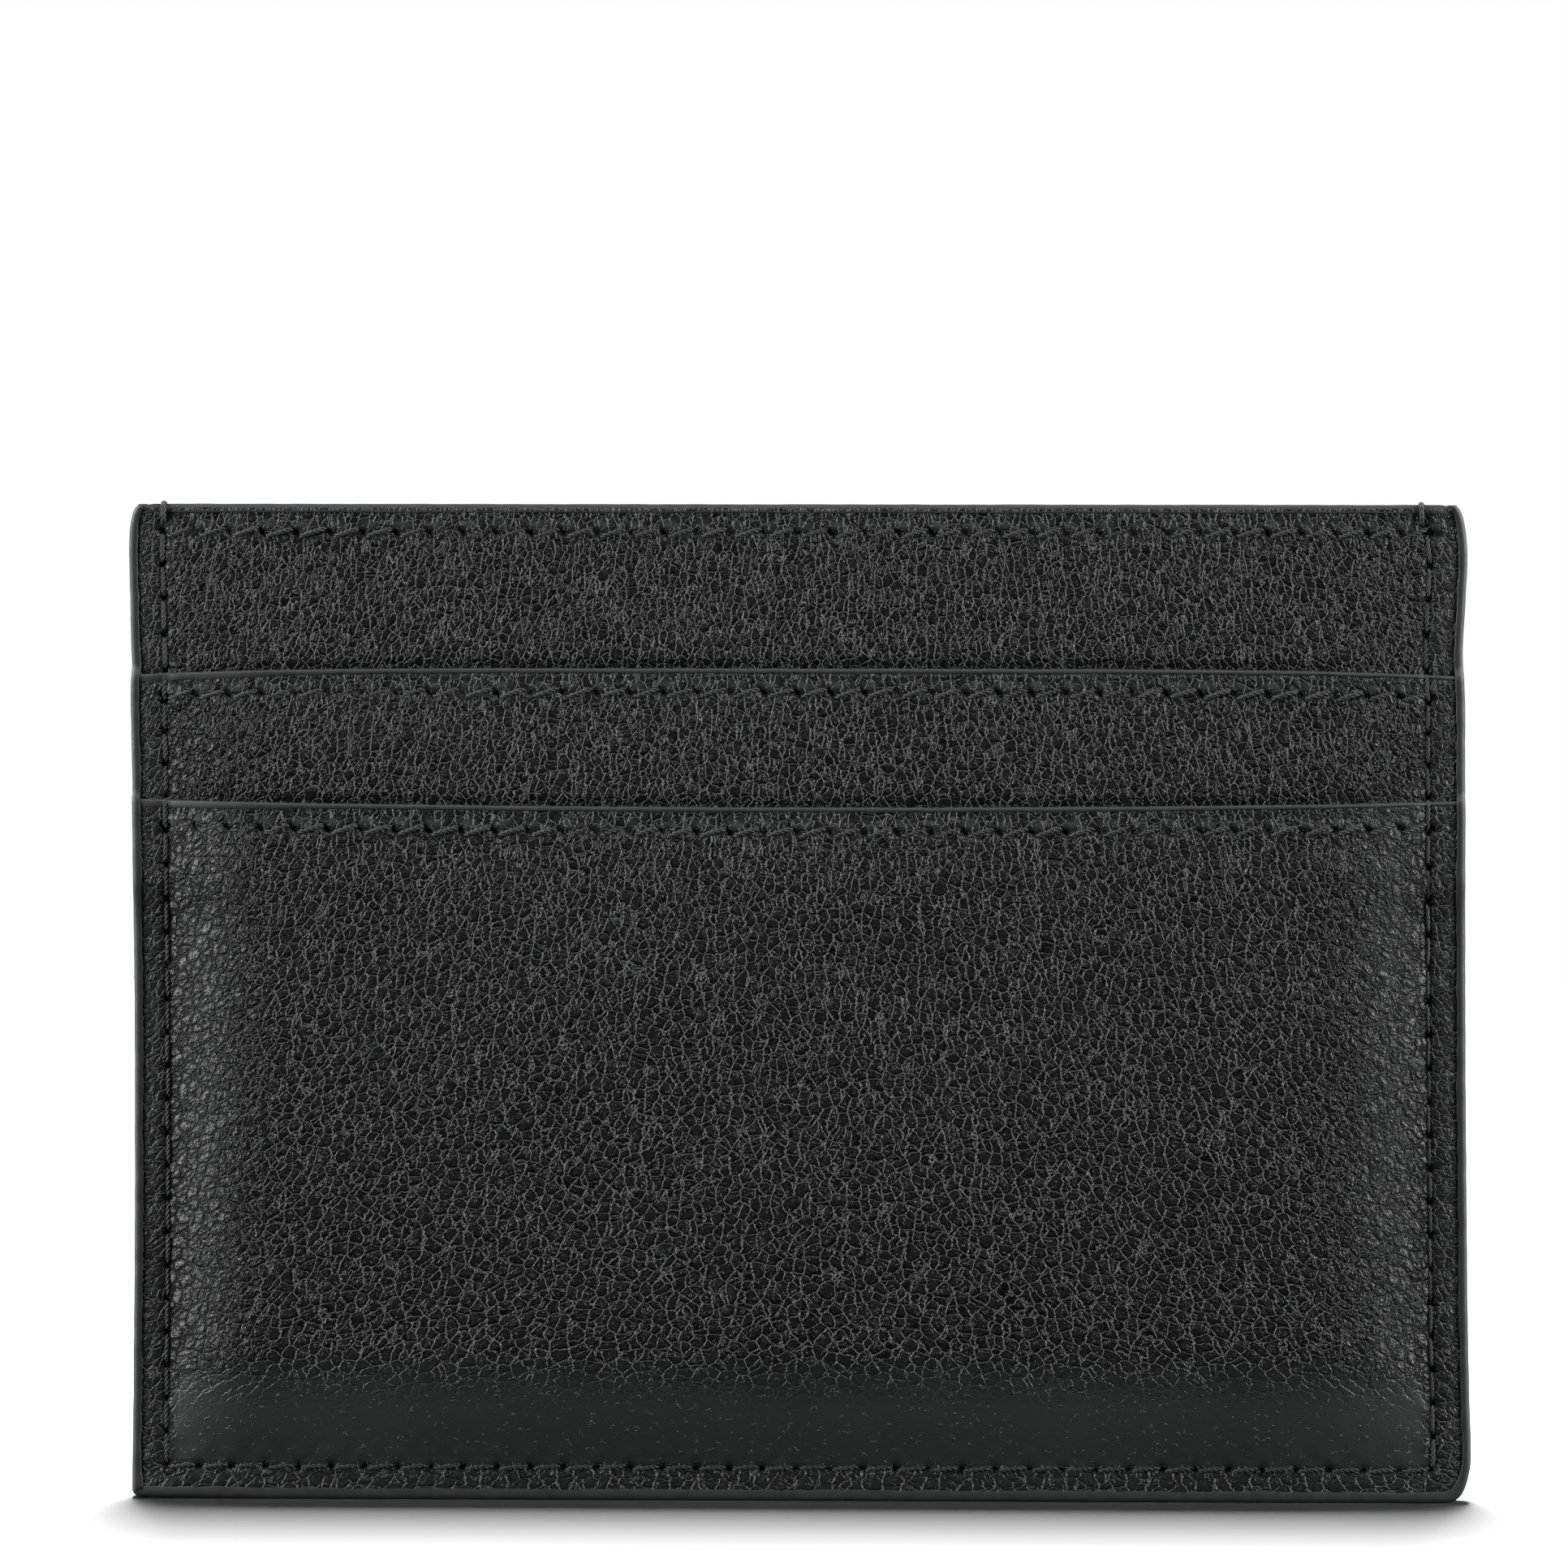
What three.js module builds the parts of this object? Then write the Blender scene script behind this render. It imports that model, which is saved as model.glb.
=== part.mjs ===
// A flat leather card holder, standing on its bottom edge.
//
// X is the width, Y the thickness (the front faces -Y) and Z the height. The origin is the
// middle of the bottom edge. All lengths are in millimetres.
//
// Each half is a stack of sheets, from the shared middle pocket outwards: panel lining, board,
// panel, upper pocket lining, upper pocket, lower pocket lining, lower pocket. The sheets lie
// flat over the cards, slope down round them, and are glued and sewn together in a margin along
// the two sides and the bottom. The tops stay open, so the holder has four card slots and a
// middle pocket. The back half mirrors the front half.

import * as THREE from 'three';

// Whole object
const WIDTH = 100;
const HEIGHT = 74.5;
const UPPER_MOUTH = 62.3;
const LOWER_MOUTH = 52.2;
const CORNER_BOTTOM_LEFT = 0.7;
const CORNER_BOTTOM_RIGHT = 1.3;
const CORNER_TOP_WIDTH = 0.75;
const CORNER_TOP_HEIGHT = 2.4;
const CORNER_FIRST_LINE = 0.4;
const CORNER_LAST_LINE = 0.5;

// Sheets
const LEATHER = 0.45;
const LEATHER_SKIVED = 0.4;
const TEXTILE = 0.1;
const BOARD = 0.2;
const GLUE = 0.03;
const CARD_GAP = 0.8;
const MIDDLE_GAP = 0.5;

// Places where the sheets bend
const MARGIN_SIDE = 2.8;
const MARGIN_BOTTOM = 2.7;
const FLAT_HALF_WIDTH = 44.3;
const FLAT_BOTTOM = 6.5;
const UPPER_POCKET_BOTTOM = 46;
const STEP_HEIGHT = 2;
const TAIL_BOTTOM = 8;
const TAIL_SEWN_TOP = 10;
const TAIL_FLAT_BOTTOM = 14;
const BOARD_HALF_WIDTH = 42;
const BOARD_BOTTOM = 8.5;
const BOARD_TOP = 68;

// Edge paint
const PAINT = 0.2;
const PAINT_ROOM = 0.25;
const PAINT_LIP = 0.6;
const PAINT_LIP_THICKNESS = 0.04;
const PAINT_BEVEL = 0.1;
const PAINT_BEVEL_DEPTH = 0.14;
const TOUCH = 0.02;
const PAST_MOUTH = 0.06;
const CLEAR_OF_MOUTH = 0.14;

// Stitching
const PITCH = 2.5;
const STITCH_INSET = 2.5;
const STITCH_BOTTOM_INSET = 2.45;
const STITCH_CORNER = 0.8;
const STITCH_TOP = 74;
const THREAD_WIDTH = 0.4;
const THREAD_HEIGHT = 0.26;
const THREAD_WAIST = 0.35;
const PANEL_ROW_DEPTH = 2.1;
const UPPER_ROW_DEPTH = 1.8;
const LOWER_ROW_DEPTH = 1.9;
const ROW_HALF_LENGTH = 46.9;
const TAIL_ROW_HALF_LENGTH = 41.5;
const TAIL_ROW_HEIGHT = 9;

const FRONT = -1;
const BACK = 1;
const SEAM_HALF_WIDTH = WIDTH / 2 - MARGIN_SIDE;

const LOOKS = {
  leather: { color: 0x1f2020, roughness: 0.55 },
  textile: { color: 0x18181b, roughness: 0.9 },
  board: { color: 0x5b4c3d, roughness: 0.9 },
  paint: { color: 0x323434, roughness: 0.5 },
  thread: { color: 0x101010, roughness: 0.7 },
};

const holder = new THREE.Group();

function add(name, geometry, look) {
  const material = new THREE.MeshStandardMaterial({ ...LOOKS[look], metalness: 0 });
  const mesh = new THREE.Mesh(geometry, material);
  mesh.name = name;
  holder.add(mesh);
}

// ---------------------------------------------------------------------------
// Levels: distances from the middle plane, outwards, as functions of x and z.

function ramp(value, from, to) {
  return THREE.MathUtils.clamp((value - from) / (to - from), 0, 1);
}

function mix(from, to, share) {
  return from + (to - from) * share;
}

// 0 in the sewn side margins, 1 over the flat middle.
function acrossShare(x) {
  return 1 - ramp(Math.abs(x), FLAT_HALF_WIDTH, SEAM_HALF_WIDTH);
}

// 0 in the sewn margins on all three sides, 1 over the flat middle.
function trayShare(x, z) {
  return Math.min(acrossShare(x), ramp(z, MARGIN_BOTTOM, FLAT_BOTTOM));
}

// Like trayShare, for a pocket whose floor is where its tail is sewn to the panel.
function tailShare(x, z) {
  return Math.min(acrossShare(x), ramp(z, TAIL_SEWN_TOP, TAIL_FLAT_BOTTOM));
}

function leatherAt(x, z) {
  return mix(LEATHER_SKIVED, LEATHER, trayShare(x, z));
}

function panelLiningInner(x, z) {
  return GLUE / 2 + (MIDDLE_GAP / 2) * trayShare(x, z);
}

function panelLiningOuter(x, z) {
  return panelLiningInner(x, z) + TEXTILE;
}

function boardInner(x, z) {
  return panelLiningOuter(x, z) + GLUE;
}

function boardOuter(x, z) {
  return boardInner(x, z) + BOARD;
}

function panelInner(x, z) {
  return panelLiningOuter(x, z) + GLUE + (BOARD + GLUE) * trayShare(x, z);
}

function panelOuter(x, z) {
  return panelInner(x, z) + leatherAt(x, z);
}

function upperLiningInner(x, z) {
  return panelOuter(x, z) + GLUE + CARD_GAP * tailShare(x, z);
}

function upperLiningOuter(x, z) {
  return upperLiningInner(x, z) + TEXTILE;
}

function upperInner(x, z) {
  return upperLiningOuter(x, z) + GLUE;
}

function upperOuter(x, z) {
  return upperInner(x, z) + leatherAt(x, z);
}

const EDGE_X = WIDTH / 2;
const LINING_LOW_SEAM = upperLiningOuter(EDGE_X, LOWER_MOUTH) + GLUE;
const LINING_HIGH_SEAM = upperOuter(EDGE_X, LOWER_MOUTH) + GLUE;
const LINING_FLAT = upperOuter(0, LOWER_MOUTH) + CARD_GAP;

// The margin of the lower pocket steps out where the upper pocket's ears lie under it.
function lowerLiningInner(x, z) {
  const step = ramp(z, UPPER_POCKET_BOTTOM - STEP_HEIGHT, UPPER_POCKET_BOTTOM);
  return mix(mix(LINING_LOW_SEAM, LINING_HIGH_SEAM, step), LINING_FLAT, trayShare(x, z));
}

function lowerLiningOuter(x, z) {
  return lowerLiningInner(x, z) + TEXTILE;
}

function lowerInner(x, z) {
  return lowerLiningOuter(x, z) + GLUE;
}

function lowerOuter(x, z) {
  return lowerInner(x, z) + leatherAt(x, z);
}

// The outermost leather at the margin, a hair past each mouth so that what lies on it clears it.
function marginLevel(z) {
  if (z <= LOWER_MOUTH + PAST_MOUTH) {
    return lowerOuter(EDGE_X, z);
  }
  if (z <= UPPER_MOUTH + PAST_MOUTH) {
    return upperOuter(EDGE_X, z);
  }
  return panelOuter(EDGE_X, z);
}

// ---------------------------------------------------------------------------
// Outline: rounded bottom corners, and top corners that draw in over their last few millimetres.

function topDrawIn(z) {
  const rise = ramp(z, HEIGHT - CORNER_TOP_HEIGHT, HEIGHT);
  return CORNER_TOP_WIDTH * (1 - Math.sqrt(1 - rise * rise));
}

function bottomDrawIn(z, radius) {
  const drop = radius * (1 - ramp(z, 0, radius));
  return radius - Math.sqrt(radius * radius - drop * drop);
}

// The edge of a sheet, inside the room that the edge paint takes.
function sheetHalfWidth(sideways, z) {
  const corner = (sideways < 0 ? CORNER_BOTTOM_LEFT : CORNER_BOTTOM_RIGHT) - PAINT_ROOM;
  const drawIn = bottomDrawIn(z - PAINT_ROOM, corner) + topDrawIn(z);
  return WIDTH / 2 - PAINT_ROOM - drawIn;
}

// ---------------------------------------------------------------------------
// Geometry builders.

// Turns an indexed surface that is wound the same way all over so that its faces point out.
function solid(positions, indices) {
  const points = positions.map((p) => new THREE.Vector3(...p));
  let volume = 0;
  for (let i = 0; i < indices.length; i += 3) {
    const [a, b, c] = indices.slice(i, i + 3).map((index) => points[index]);
    volume += a.dot(b.clone().cross(c));
  }
  const geometry = new THREE.BufferGeometry();
  geometry.setAttribute('position', new THREE.Float32BufferAttribute(positions.flat(), 3));
  geometry.setIndex(volume > 0 ? indices : indices.toReversed());
  geometry.computeVertexNormals();
  return geometry;
}

// A sheet between two levels, over a grid of x and z lines. Its outermost x lines follow the
// outline. A grid cell is split along the diagonal that runs down to its own bottom corner, so
// that the slopes meet in a mitre.
function sheet(side, xLines, zLines, innerAt, outerAt) {
  const columns = xLines.length;
  const rows = zLines.length;
  const positions = [];
  for (const levelAt of [innerAt, outerAt]) {
    for (const z of zLines) {
      for (const x of xLines) {
        const edge = Math.min(Math.abs(x), sheetHalfWidth(x, z));
        positions.push([Math.sign(x) * edge, side * levelAt(x, z), z]);
      }
    }
  }
  const inner = (i, j) => j * columns + i;
  const outer = (i, j) => (rows + j) * columns + i;
  const indices = [];
  const quad = (a, b, c, d) => indices.push(a, b, c, a, c, d);
  for (let j = 0; j < rows - 1; j++) {
    for (let i = 0; i < columns - 1; i++) {
      const faces = [
        [outer(i, j), outer(i + 1, j), outer(i + 1, j + 1), outer(i, j + 1)],
        [inner(i, j + 1), inner(i + 1, j + 1), inner(i + 1, j), inner(i, j)],
      ];
      const leftOfMiddle = xLines[i] + xLines[i + 1] < 0;
      for (const [a, b, c, d] of faces) {
        const rising = faces[0][0] === a ? leftOfMiddle : !leftOfMiddle;
        if (rising) {
          quad(a, b, c, d);
        } else {
          quad(b, c, d, a);
        }
      }
    }
  }
  for (let i = 0; i < columns - 1; i++) {
    const last = rows - 1;
    quad(outer(i, 0), inner(i, 0), inner(i + 1, 0), outer(i + 1, 0));
    quad(outer(i, last), outer(i + 1, last), inner(i + 1, last), inner(i, last));
  }
  for (let j = 0; j < rows - 1; j++) {
    const last = columns - 1;
    quad(outer(0, j), outer(0, j + 1), inner(0, j + 1), inner(0, j));
    quad(outer(last, j), inner(last, j), inner(last, j + 1), outer(last, j + 1));
  }
  return solid(positions, indices);
}

// A bar whose section changes along a path. A station has a place (x, z) and a direction across
// the path (acrossX, acrossZ). The section is a ring of [across, outwards] points.
function sweep(side, stations, sectionAt) {
  const sections = stations.map((station) => sectionAt(station));
  const ring = sections[0].length;
  const positions = stations.flatMap((station, k) => sections[k].map(([across, out]) => [
    station.x + station.acrossX * across,
    side * out,
    station.z + station.acrossZ * across,
  ]));
  const indices = [];
  for (let k = 0; k < stations.length - 1; k++) {
    for (let m = 0; m < ring; m++) {
      const next = (m + 1) % ring;
      const [a, b] = [k * ring + m, k * ring + next];
      indices.push(a, b, b + ring, a, b + ring, a + ring);
    }
  }
  const lastRing = (stations.length - 1) * ring;
  for (const [a, b, c] of capFaces(sections[0])) {
    indices.push(c, b, a);
  }
  for (const [a, b, c] of capFaces(sections.at(-1))) {
    indices.push(lastRing + a, lastRing + b, lastRing + c);
  }
  return solid(positions, indices);
}

// Triangles that fill a section, wound the way its ring runs.
function capFaces(section) {
  const contour = section.map(([across, out]) => new THREE.Vector2(across, out));
  const ringArea = THREE.ShapeUtils.area(contour);
  return THREE.ShapeUtils.triangulateShape(contour, []).map(([a, b, c]) => {
    const area = THREE.ShapeUtils.area([contour[a], contour[b], contour[c]]);
    return area * ringArea > 0 ? [a, b, c] : [a, c, b];
  });
}

// ---------------------------------------------------------------------------
// Paths.

// A U round the two sides and the bottom, at a distance inside the outline. It gives the length
// and a function from distance along the U, starting at the top left, to a place on it.
function uPath(inset, bottomInset, top, leftRadius, rightRadius) {
  const left = -WIDTH / 2 + inset;
  const right = WIDTH / 2 - inset;
  const leftLength = top - bottomInset - leftRadius;
  const leftArc = (leftRadius * Math.PI) / 2;
  const bottomLength = right - left - leftRadius - rightRadius;
  const rightArc = (rightRadius * Math.PI) / 2;
  const rightLength = top - bottomInset - rightRadius;
  const length = leftLength + leftArc + bottomLength + rightArc + rightLength;

  function onArc(centreX, radius, angle) {
    return {
      x: centreX + radius * Math.cos(angle),
      z: bottomInset + radius + radius * Math.sin(angle),
      acrossX: -Math.cos(angle),
      acrossZ: -Math.sin(angle),
    };
  }

  function at(distance) {
    let rest = distance;
    if (rest <= leftLength) {
      return { x: left, z: top - rest, acrossX: 1, acrossZ: 0 };
    }
    rest -= leftLength;
    if (rest <= leftArc) {
      return onArc(left + leftRadius, leftRadius, Math.PI + rest / leftRadius);
    }
    rest -= leftArc;
    if (rest <= bottomLength) {
      return { x: left + leftRadius + rest, z: bottomInset, acrossX: 0, acrossZ: 1 };
    }
    rest -= bottomLength;
    if (rest <= rightArc) {
      return onArc(right - rightRadius, rightRadius, 1.5 * Math.PI + rest / rightRadius);
    }
    rest -= rightArc;
    return { x: right, z: top - rightLength + rest, acrossX: -1, acrossZ: 0 };
  }

  const cornerEnds = [
    leftLength,
    leftLength + leftArc,
    leftLength + leftArc + bottomLength,
    length - rightLength,
  ];
  return { length, at, cornerEnds, arcs: [leftArc, rightArc] };
}

// Heights at which the margin's level changes, with a place on either side of each mouth.
const MARGIN_BREAKS = [
  UPPER_POCKET_BOTTOM - STEP_HEIGHT,
  UPPER_POCKET_BOTTOM,
  LOWER_MOUTH + PAST_MOUTH,
  LOWER_MOUTH + CLEAR_OF_MOUTH,
  UPPER_MOUTH + PAST_MOUTH,
  UPPER_MOUTH + CLEAR_OF_MOUTH,
];

function sortedDistances(distances) {
  const sorted = distances.toSorted((a, b) => a - b);
  return sorted.filter((distance, i) => i === 0 || distance - sorted[i - 1] > TOUCH);
}

// ---------------------------------------------------------------------------
// Sheets.

function symmetric(halfLines) {
  return [...halfLines.map((x) => -x).toReversed(), ...halfLines];
}

const SHEET_X_LINES = symmetric([FLAT_HALF_WIDTH, SEAM_HALF_WIDTH, WIDTH / 2]);
const BOTTOM_Z_LINES = [
  PAINT_ROOM, CORNER_FIRST_LINE, CORNER_BOTTOM_LEFT, CORNER_BOTTOM_RIGHT,
  MARGIN_BOTTOM, FLAT_BOTTOM,
];
const PANEL_TOP_LINES = [
  CORNER_TOP_HEIGHT, CORNER_TOP_HEIGHT / 2, CORNER_LAST_LINE, PAINT_ROOM,
].map((depth) => HEIGHT - depth);
const STEP_Z_LINES = [UPPER_POCKET_BOTTOM - STEP_HEIGHT, UPPER_POCKET_BOTTOM];

function addPanel(side, prefix) {
  const zLines = [...BOTTOM_Z_LINES, ...PANEL_TOP_LINES];
  add(`${prefix}_panel_lining`,
    sheet(side, SHEET_X_LINES, zLines, panelLiningInner, panelLiningOuter), 'textile');
  add(`${prefix}_panel`, sheet(side, SHEET_X_LINES, zLines, panelInner, panelOuter), 'leather');
}

function addReinforcement(side, prefix) {
  const xLines = [-BOARD_HALF_WIDTH, BOARD_HALF_WIDTH];
  const zLines = [BOARD_BOTTOM, BOARD_TOP];
  add(`${prefix}_panel_reinforcement`,
    sheet(side, xLines, zLines, boardInner, boardOuter), 'board');
}

function addUpperPocket(side, prefix) {
  const mouth = UPPER_MOUTH - PAINT_ROOM;
  const tailLines = [TAIL_BOTTOM, TAIL_SEWN_TOP, TAIL_FLAT_BOTTOM, mouth];
  add(`${prefix}_upper_pocket_lining`,
    sheet(side, SHEET_X_LINES, tailLines, upperLiningInner, upperLiningOuter), 'textile');
  const stripLines = [UPPER_POCKET_BOTTOM, mouth];
  add(`${prefix}_upper_pocket`,
    sheet(side, SHEET_X_LINES, stripLines, upperInner, upperOuter), 'leather');
}

function addLowerPocket(side, prefix) {
  const zLines = [...BOTTOM_Z_LINES, ...STEP_Z_LINES, LOWER_MOUTH - PAINT_ROOM];
  add(`${prefix}_lower_pocket_lining`,
    sheet(side, SHEET_X_LINES, zLines, lowerLiningInner, lowerLiningOuter), 'textile');
  add(`${prefix}_lower_pocket`,
    sheet(side, SHEET_X_LINES, zLines, lowerInner, lowerOuter), 'leather');
}

// ---------------------------------------------------------------------------
// Edge paint.

// One coat round the sides and the bottom, with a thin lip on the front and on the back.
function addPerimeterPaint() {
  const top = HEIGHT - PAINT_ROOM;
  const path = uPath(0, 0, top, CORNER_BOTTOM_LEFT, CORNER_BOTTOM_RIGHT);
  const heights = [...MARGIN_BREAKS, ...PANEL_TOP_LINES.slice(0, -1)];
  const distances = [0, path.length, ...path.cornerEnds];
  for (const z of heights) {
    distances.push(top - z, path.length - (top - z));
  }
  const [leftStart, , rightStart] = path.cornerEnds;
  const [leftArc, rightArc] = path.arcs;
  for (const third of [1 / 3, 2 / 3]) {
    distances.push(leftStart + leftArc * third, rightStart + rightArc * third);
  }
  const stations = sortedDistances(distances).map((distance) => {
    const place = path.at(distance);
    return { ...place, x: place.x - Math.sign(place.x) * topDrawIn(place.z) };
  });
  const section = (station) => {
    const level = marginLevel(station.z);
    const half = [
      [0, level - PAINT_BEVEL],
      [PAINT_BEVEL_DEPTH, level + TOUCH + PAINT_LIP_THICKNESS],
      [PAINT_LIP, level + TOUCH + PAINT_LIP_THICKNESS],
      [PAINT_LIP, level + TOUCH],
      [PAINT, level + TOUCH],
    ];
    return [...half, ...half.map(([across, out]) => [across, -out]).toReversed()];
  };
  add('perimeter_edge_paint', sweep(BACK, stations, section), 'paint');
}

// One coat along an open mouth, over the cut edges of the leather and its lining.
function addMouthPaint(side, name, mouth, halfLength, innerAt, outerAt) {
  const stations = symmetric([FLAT_HALF_WIDTH, SEAM_HALF_WIDTH, halfLength])
    .map((x) => ({ x, z: mouth, acrossX: 0, acrossZ: 1 }));
  const section = ({ x }) => {
    const inner = innerAt(x, mouth);
    const outer = outerAt(x, mouth);
    const foot = TOUCH - PAINT_ROOM;
    return [
      [foot, inner],
      [foot, outer],
      [-PAINT_BEVEL, outer],
      [0, outer - PAINT_BEVEL],
      [0, inner + PAINT_BEVEL],
      [-PAINT_BEVEL, inner],
    ];
  };
  add(name, sweep(side, stations, section), 'paint');
}

// ---------------------------------------------------------------------------
// Stitching: each seam is one thread that lies on the leather, thick in the middle of a stitch
// and thin where it dips into a hole.

function threadSection(distance, level) {
  const swell = mix(THREAD_WAIST, 1, Math.abs(Math.sin((Math.PI * distance) / PITCH)));
  const halfWidth = (THREAD_WIDTH / 2) * swell;
  return [
    [-halfWidth, level + TOUCH],
    [0, level + TOUCH + THREAD_HEIGHT * swell],
    [halfWidth, level + TOUCH],
  ];
}

function stitchDistances(length, breaks) {
  const halfStitches = Math.round((2 * length) / PITCH);
  const steps = Array.from({ length: halfStitches + 1 }, (_, k) => (length * k) / halfStitches);
  const clearOfBreaks = steps.filter(
    (step) => breaks.every((place) => Math.abs(place - step) > PAST_MOUTH),
  );
  return sortedDistances([...clearOfBreaks, ...breaks]);
}

function addPerimeterStitching(side, name) {
  const path = uPath(
    STITCH_INSET, STITCH_BOTTOM_INSET, STITCH_TOP, STITCH_CORNER, STITCH_CORNER);
  const breaks = MARGIN_BREAKS.flatMap(
    (z) => [STITCH_TOP - z, path.length - (STITCH_TOP - z)]);
  const corners = path.cornerEnds;
  const corner = [(corners[0] + corners[1]) / 2, (corners[2] + corners[3]) / 2];
  const stations = stitchDistances(path.length, [...breaks, ...corners, ...corner])
    .map((distance) => ({ ...path.at(distance), distance }));
  const section = (station) => threadSection(station.distance, marginLevel(station.z));
  add(name, sweep(side, stations, section), 'thread');
}

function addStitchRow(side, name, z, halfLength, outerAt) {
  const breaks = symmetric([FLAT_HALF_WIDTH]).map((x) => x + halfLength)
    .filter((distance) => distance > 0 && distance < 2 * halfLength);
  const stations = stitchDistances(2 * halfLength, breaks)
    .map((distance) => ({ x: distance - halfLength, z, acrossX: 0, acrossZ: 1, distance }));
  const section = (station) => threadSection(station.distance, outerAt(station.x, z));
  add(name, sweep(side, stations, section), 'thread');
}

// ---------------------------------------------------------------------------

for (const [side, prefix] of [[FRONT, 'front'], [BACK, 'back']]) {
  addPanel(side, prefix);
  addReinforcement(side, prefix);
  addUpperPocket(side, prefix);
  addLowerPocket(side, prefix);

  const paintedLength = WIDTH / 2 - PAINT_ROOM;
  const topLength = WIDTH / 2 - CORNER_TOP_WIDTH;
  addMouthPaint(
    side, `${prefix}_panel_edge_paint`, HEIGHT, topLength, panelLiningInner, panelOuter);
  addMouthPaint(side, `${prefix}_upper_pocket_edge_paint`, UPPER_MOUTH, paintedLength,
    upperLiningInner, upperOuter);
  addMouthPaint(side, `${prefix}_lower_pocket_edge_paint`, LOWER_MOUTH, paintedLength,
    lowerLiningInner, lowerOuter);

  addStitchRow(side, `${prefix}_panel_stitching`, HEIGHT - PANEL_ROW_DEPTH,
    ROW_HALF_LENGTH, panelOuter);
  addStitchRow(side, `${prefix}_upper_pocket_stitching`, UPPER_MOUTH - UPPER_ROW_DEPTH,
    ROW_HALF_LENGTH, upperOuter);
  addStitchRow(side, `${prefix}_lower_pocket_stitching`, LOWER_MOUTH - LOWER_ROW_DEPTH,
    ROW_HALF_LENGTH, lowerOuter);
  addStitchRow(side, `${prefix}_upper_pocket_tail_seam`, TAIL_ROW_HEIGHT,
    TAIL_ROW_HALF_LENGTH, upperLiningOuter);
  addPerimeterStitching(side, `perimeter_stitching_${prefix}`);
}
addPerimeterPaint();

export default holder;
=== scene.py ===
"""The looks of a flat black leather card holder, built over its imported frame.

X is the width, the front faces -Y and Z is up. Named lengths are in millimetres, and meshes are
written in metres. A sheet is described by its levels: distances from the middle plane outwards,
as functions of x and z. Side -1 is the front half and side 1 is the back half.
"""
import math

import bpy
import numpy as np
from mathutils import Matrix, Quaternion, Vector


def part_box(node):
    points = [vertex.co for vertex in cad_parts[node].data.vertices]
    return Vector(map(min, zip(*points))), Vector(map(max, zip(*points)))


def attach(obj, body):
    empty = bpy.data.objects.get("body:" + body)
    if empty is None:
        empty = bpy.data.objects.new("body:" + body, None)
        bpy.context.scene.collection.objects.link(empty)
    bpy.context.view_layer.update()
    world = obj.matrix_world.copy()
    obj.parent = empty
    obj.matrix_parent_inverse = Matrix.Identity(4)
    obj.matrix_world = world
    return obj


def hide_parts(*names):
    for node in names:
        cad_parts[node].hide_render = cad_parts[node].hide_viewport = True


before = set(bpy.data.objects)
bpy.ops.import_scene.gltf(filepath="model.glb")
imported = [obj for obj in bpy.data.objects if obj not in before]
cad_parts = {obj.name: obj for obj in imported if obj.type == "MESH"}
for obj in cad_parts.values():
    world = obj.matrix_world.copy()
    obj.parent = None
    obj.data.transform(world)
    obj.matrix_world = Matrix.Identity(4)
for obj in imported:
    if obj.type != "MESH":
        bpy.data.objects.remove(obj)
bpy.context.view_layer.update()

MM = 0.001
SIDES = {"front": -1, "back": 1}

# Sheets, as the frame's are
LEATHER = 0.45
SKIVED = 0.40
TEXTILE = 0.10
GLUE = 0.03
CARD_GAP = 0.80
LINING_INSET = 0.02
LINING_BELOW_LEATHER = 0.05

# How the leather rises out of its sewn margins
SEAM_X = 47.1
SEAM_Z = 2.9
RISE_LEFT = 8.6
RISE_RIGHT = 10.5
RISE_BOTTOM = 8.6
DOME_POWER = 2.0
FLOOR_POWER = 1.75
CROWN = 0.22
CROWN_HEIGHT = 54
MARGIN_FALL = 0.22
MARGIN_FALL_WIDTH = 2.2

# How the sheets lie at the mouths, at the slots' floors and where the strip behind them ends
PANEL_LEAN = 0.1
MOUTH_LEAN = 0.34
MOUTH_LEAN_HEIGHT = 6.0
MOUTH_STEP = 0.4
MOUTH_DENT = 0.25
MOUTH_DENT_WIDTH = 0.45
LOWER_SLACK = 0.12
SLOT_FLOOR = 2.0
SLOT_FLOOR_RISE = 5.0
STRIP_STEP_BELOW = 2.5
STRIP_STEP_HEIGHT = 3.0

# Slow waves over the leather
WAVE_COUNT = 6
WAVE_LENGTHS = (11, 34)
WAVE_SIZE = 0.16

# Seams
PITCH = 2.5
STITCH_LEFT = 47.45
STITCH_RIGHT = 47.2
STITCH_Z = 2.45
BOTTOM_STITCHES = 38
TOP_LEAN_IN = 0.5
TOP_LEAN_HEIGHT = 3.6
ROW_DEPTH = {"panel": 2.1, "upper_pocket": 1.8, "lower_pocket": 1.9}
ROW_END = 47.6
ROW_FADE = 0.9
HOLE_STRENGTHS = (0.6, 1.4)
SLIT_HALF_LENGTH = 0.38
SLIT_HALF_HEIGHT = 0.30

# Relief pressed into the leather by the seams
GROOVE_DEPTH = 0.15
HOLE_DEPTH = 0.34
PUCKER_HEIGHT = 0.075
PUFF_HEIGHT = 0.06
SLIT_DEPTH = 0.40
ROW_GROOVE_DEPTH = 0.03
ROW_PUFF_HEIGHT = 0.085
ROW_SAG_HEIGHT = 0.03

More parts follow.
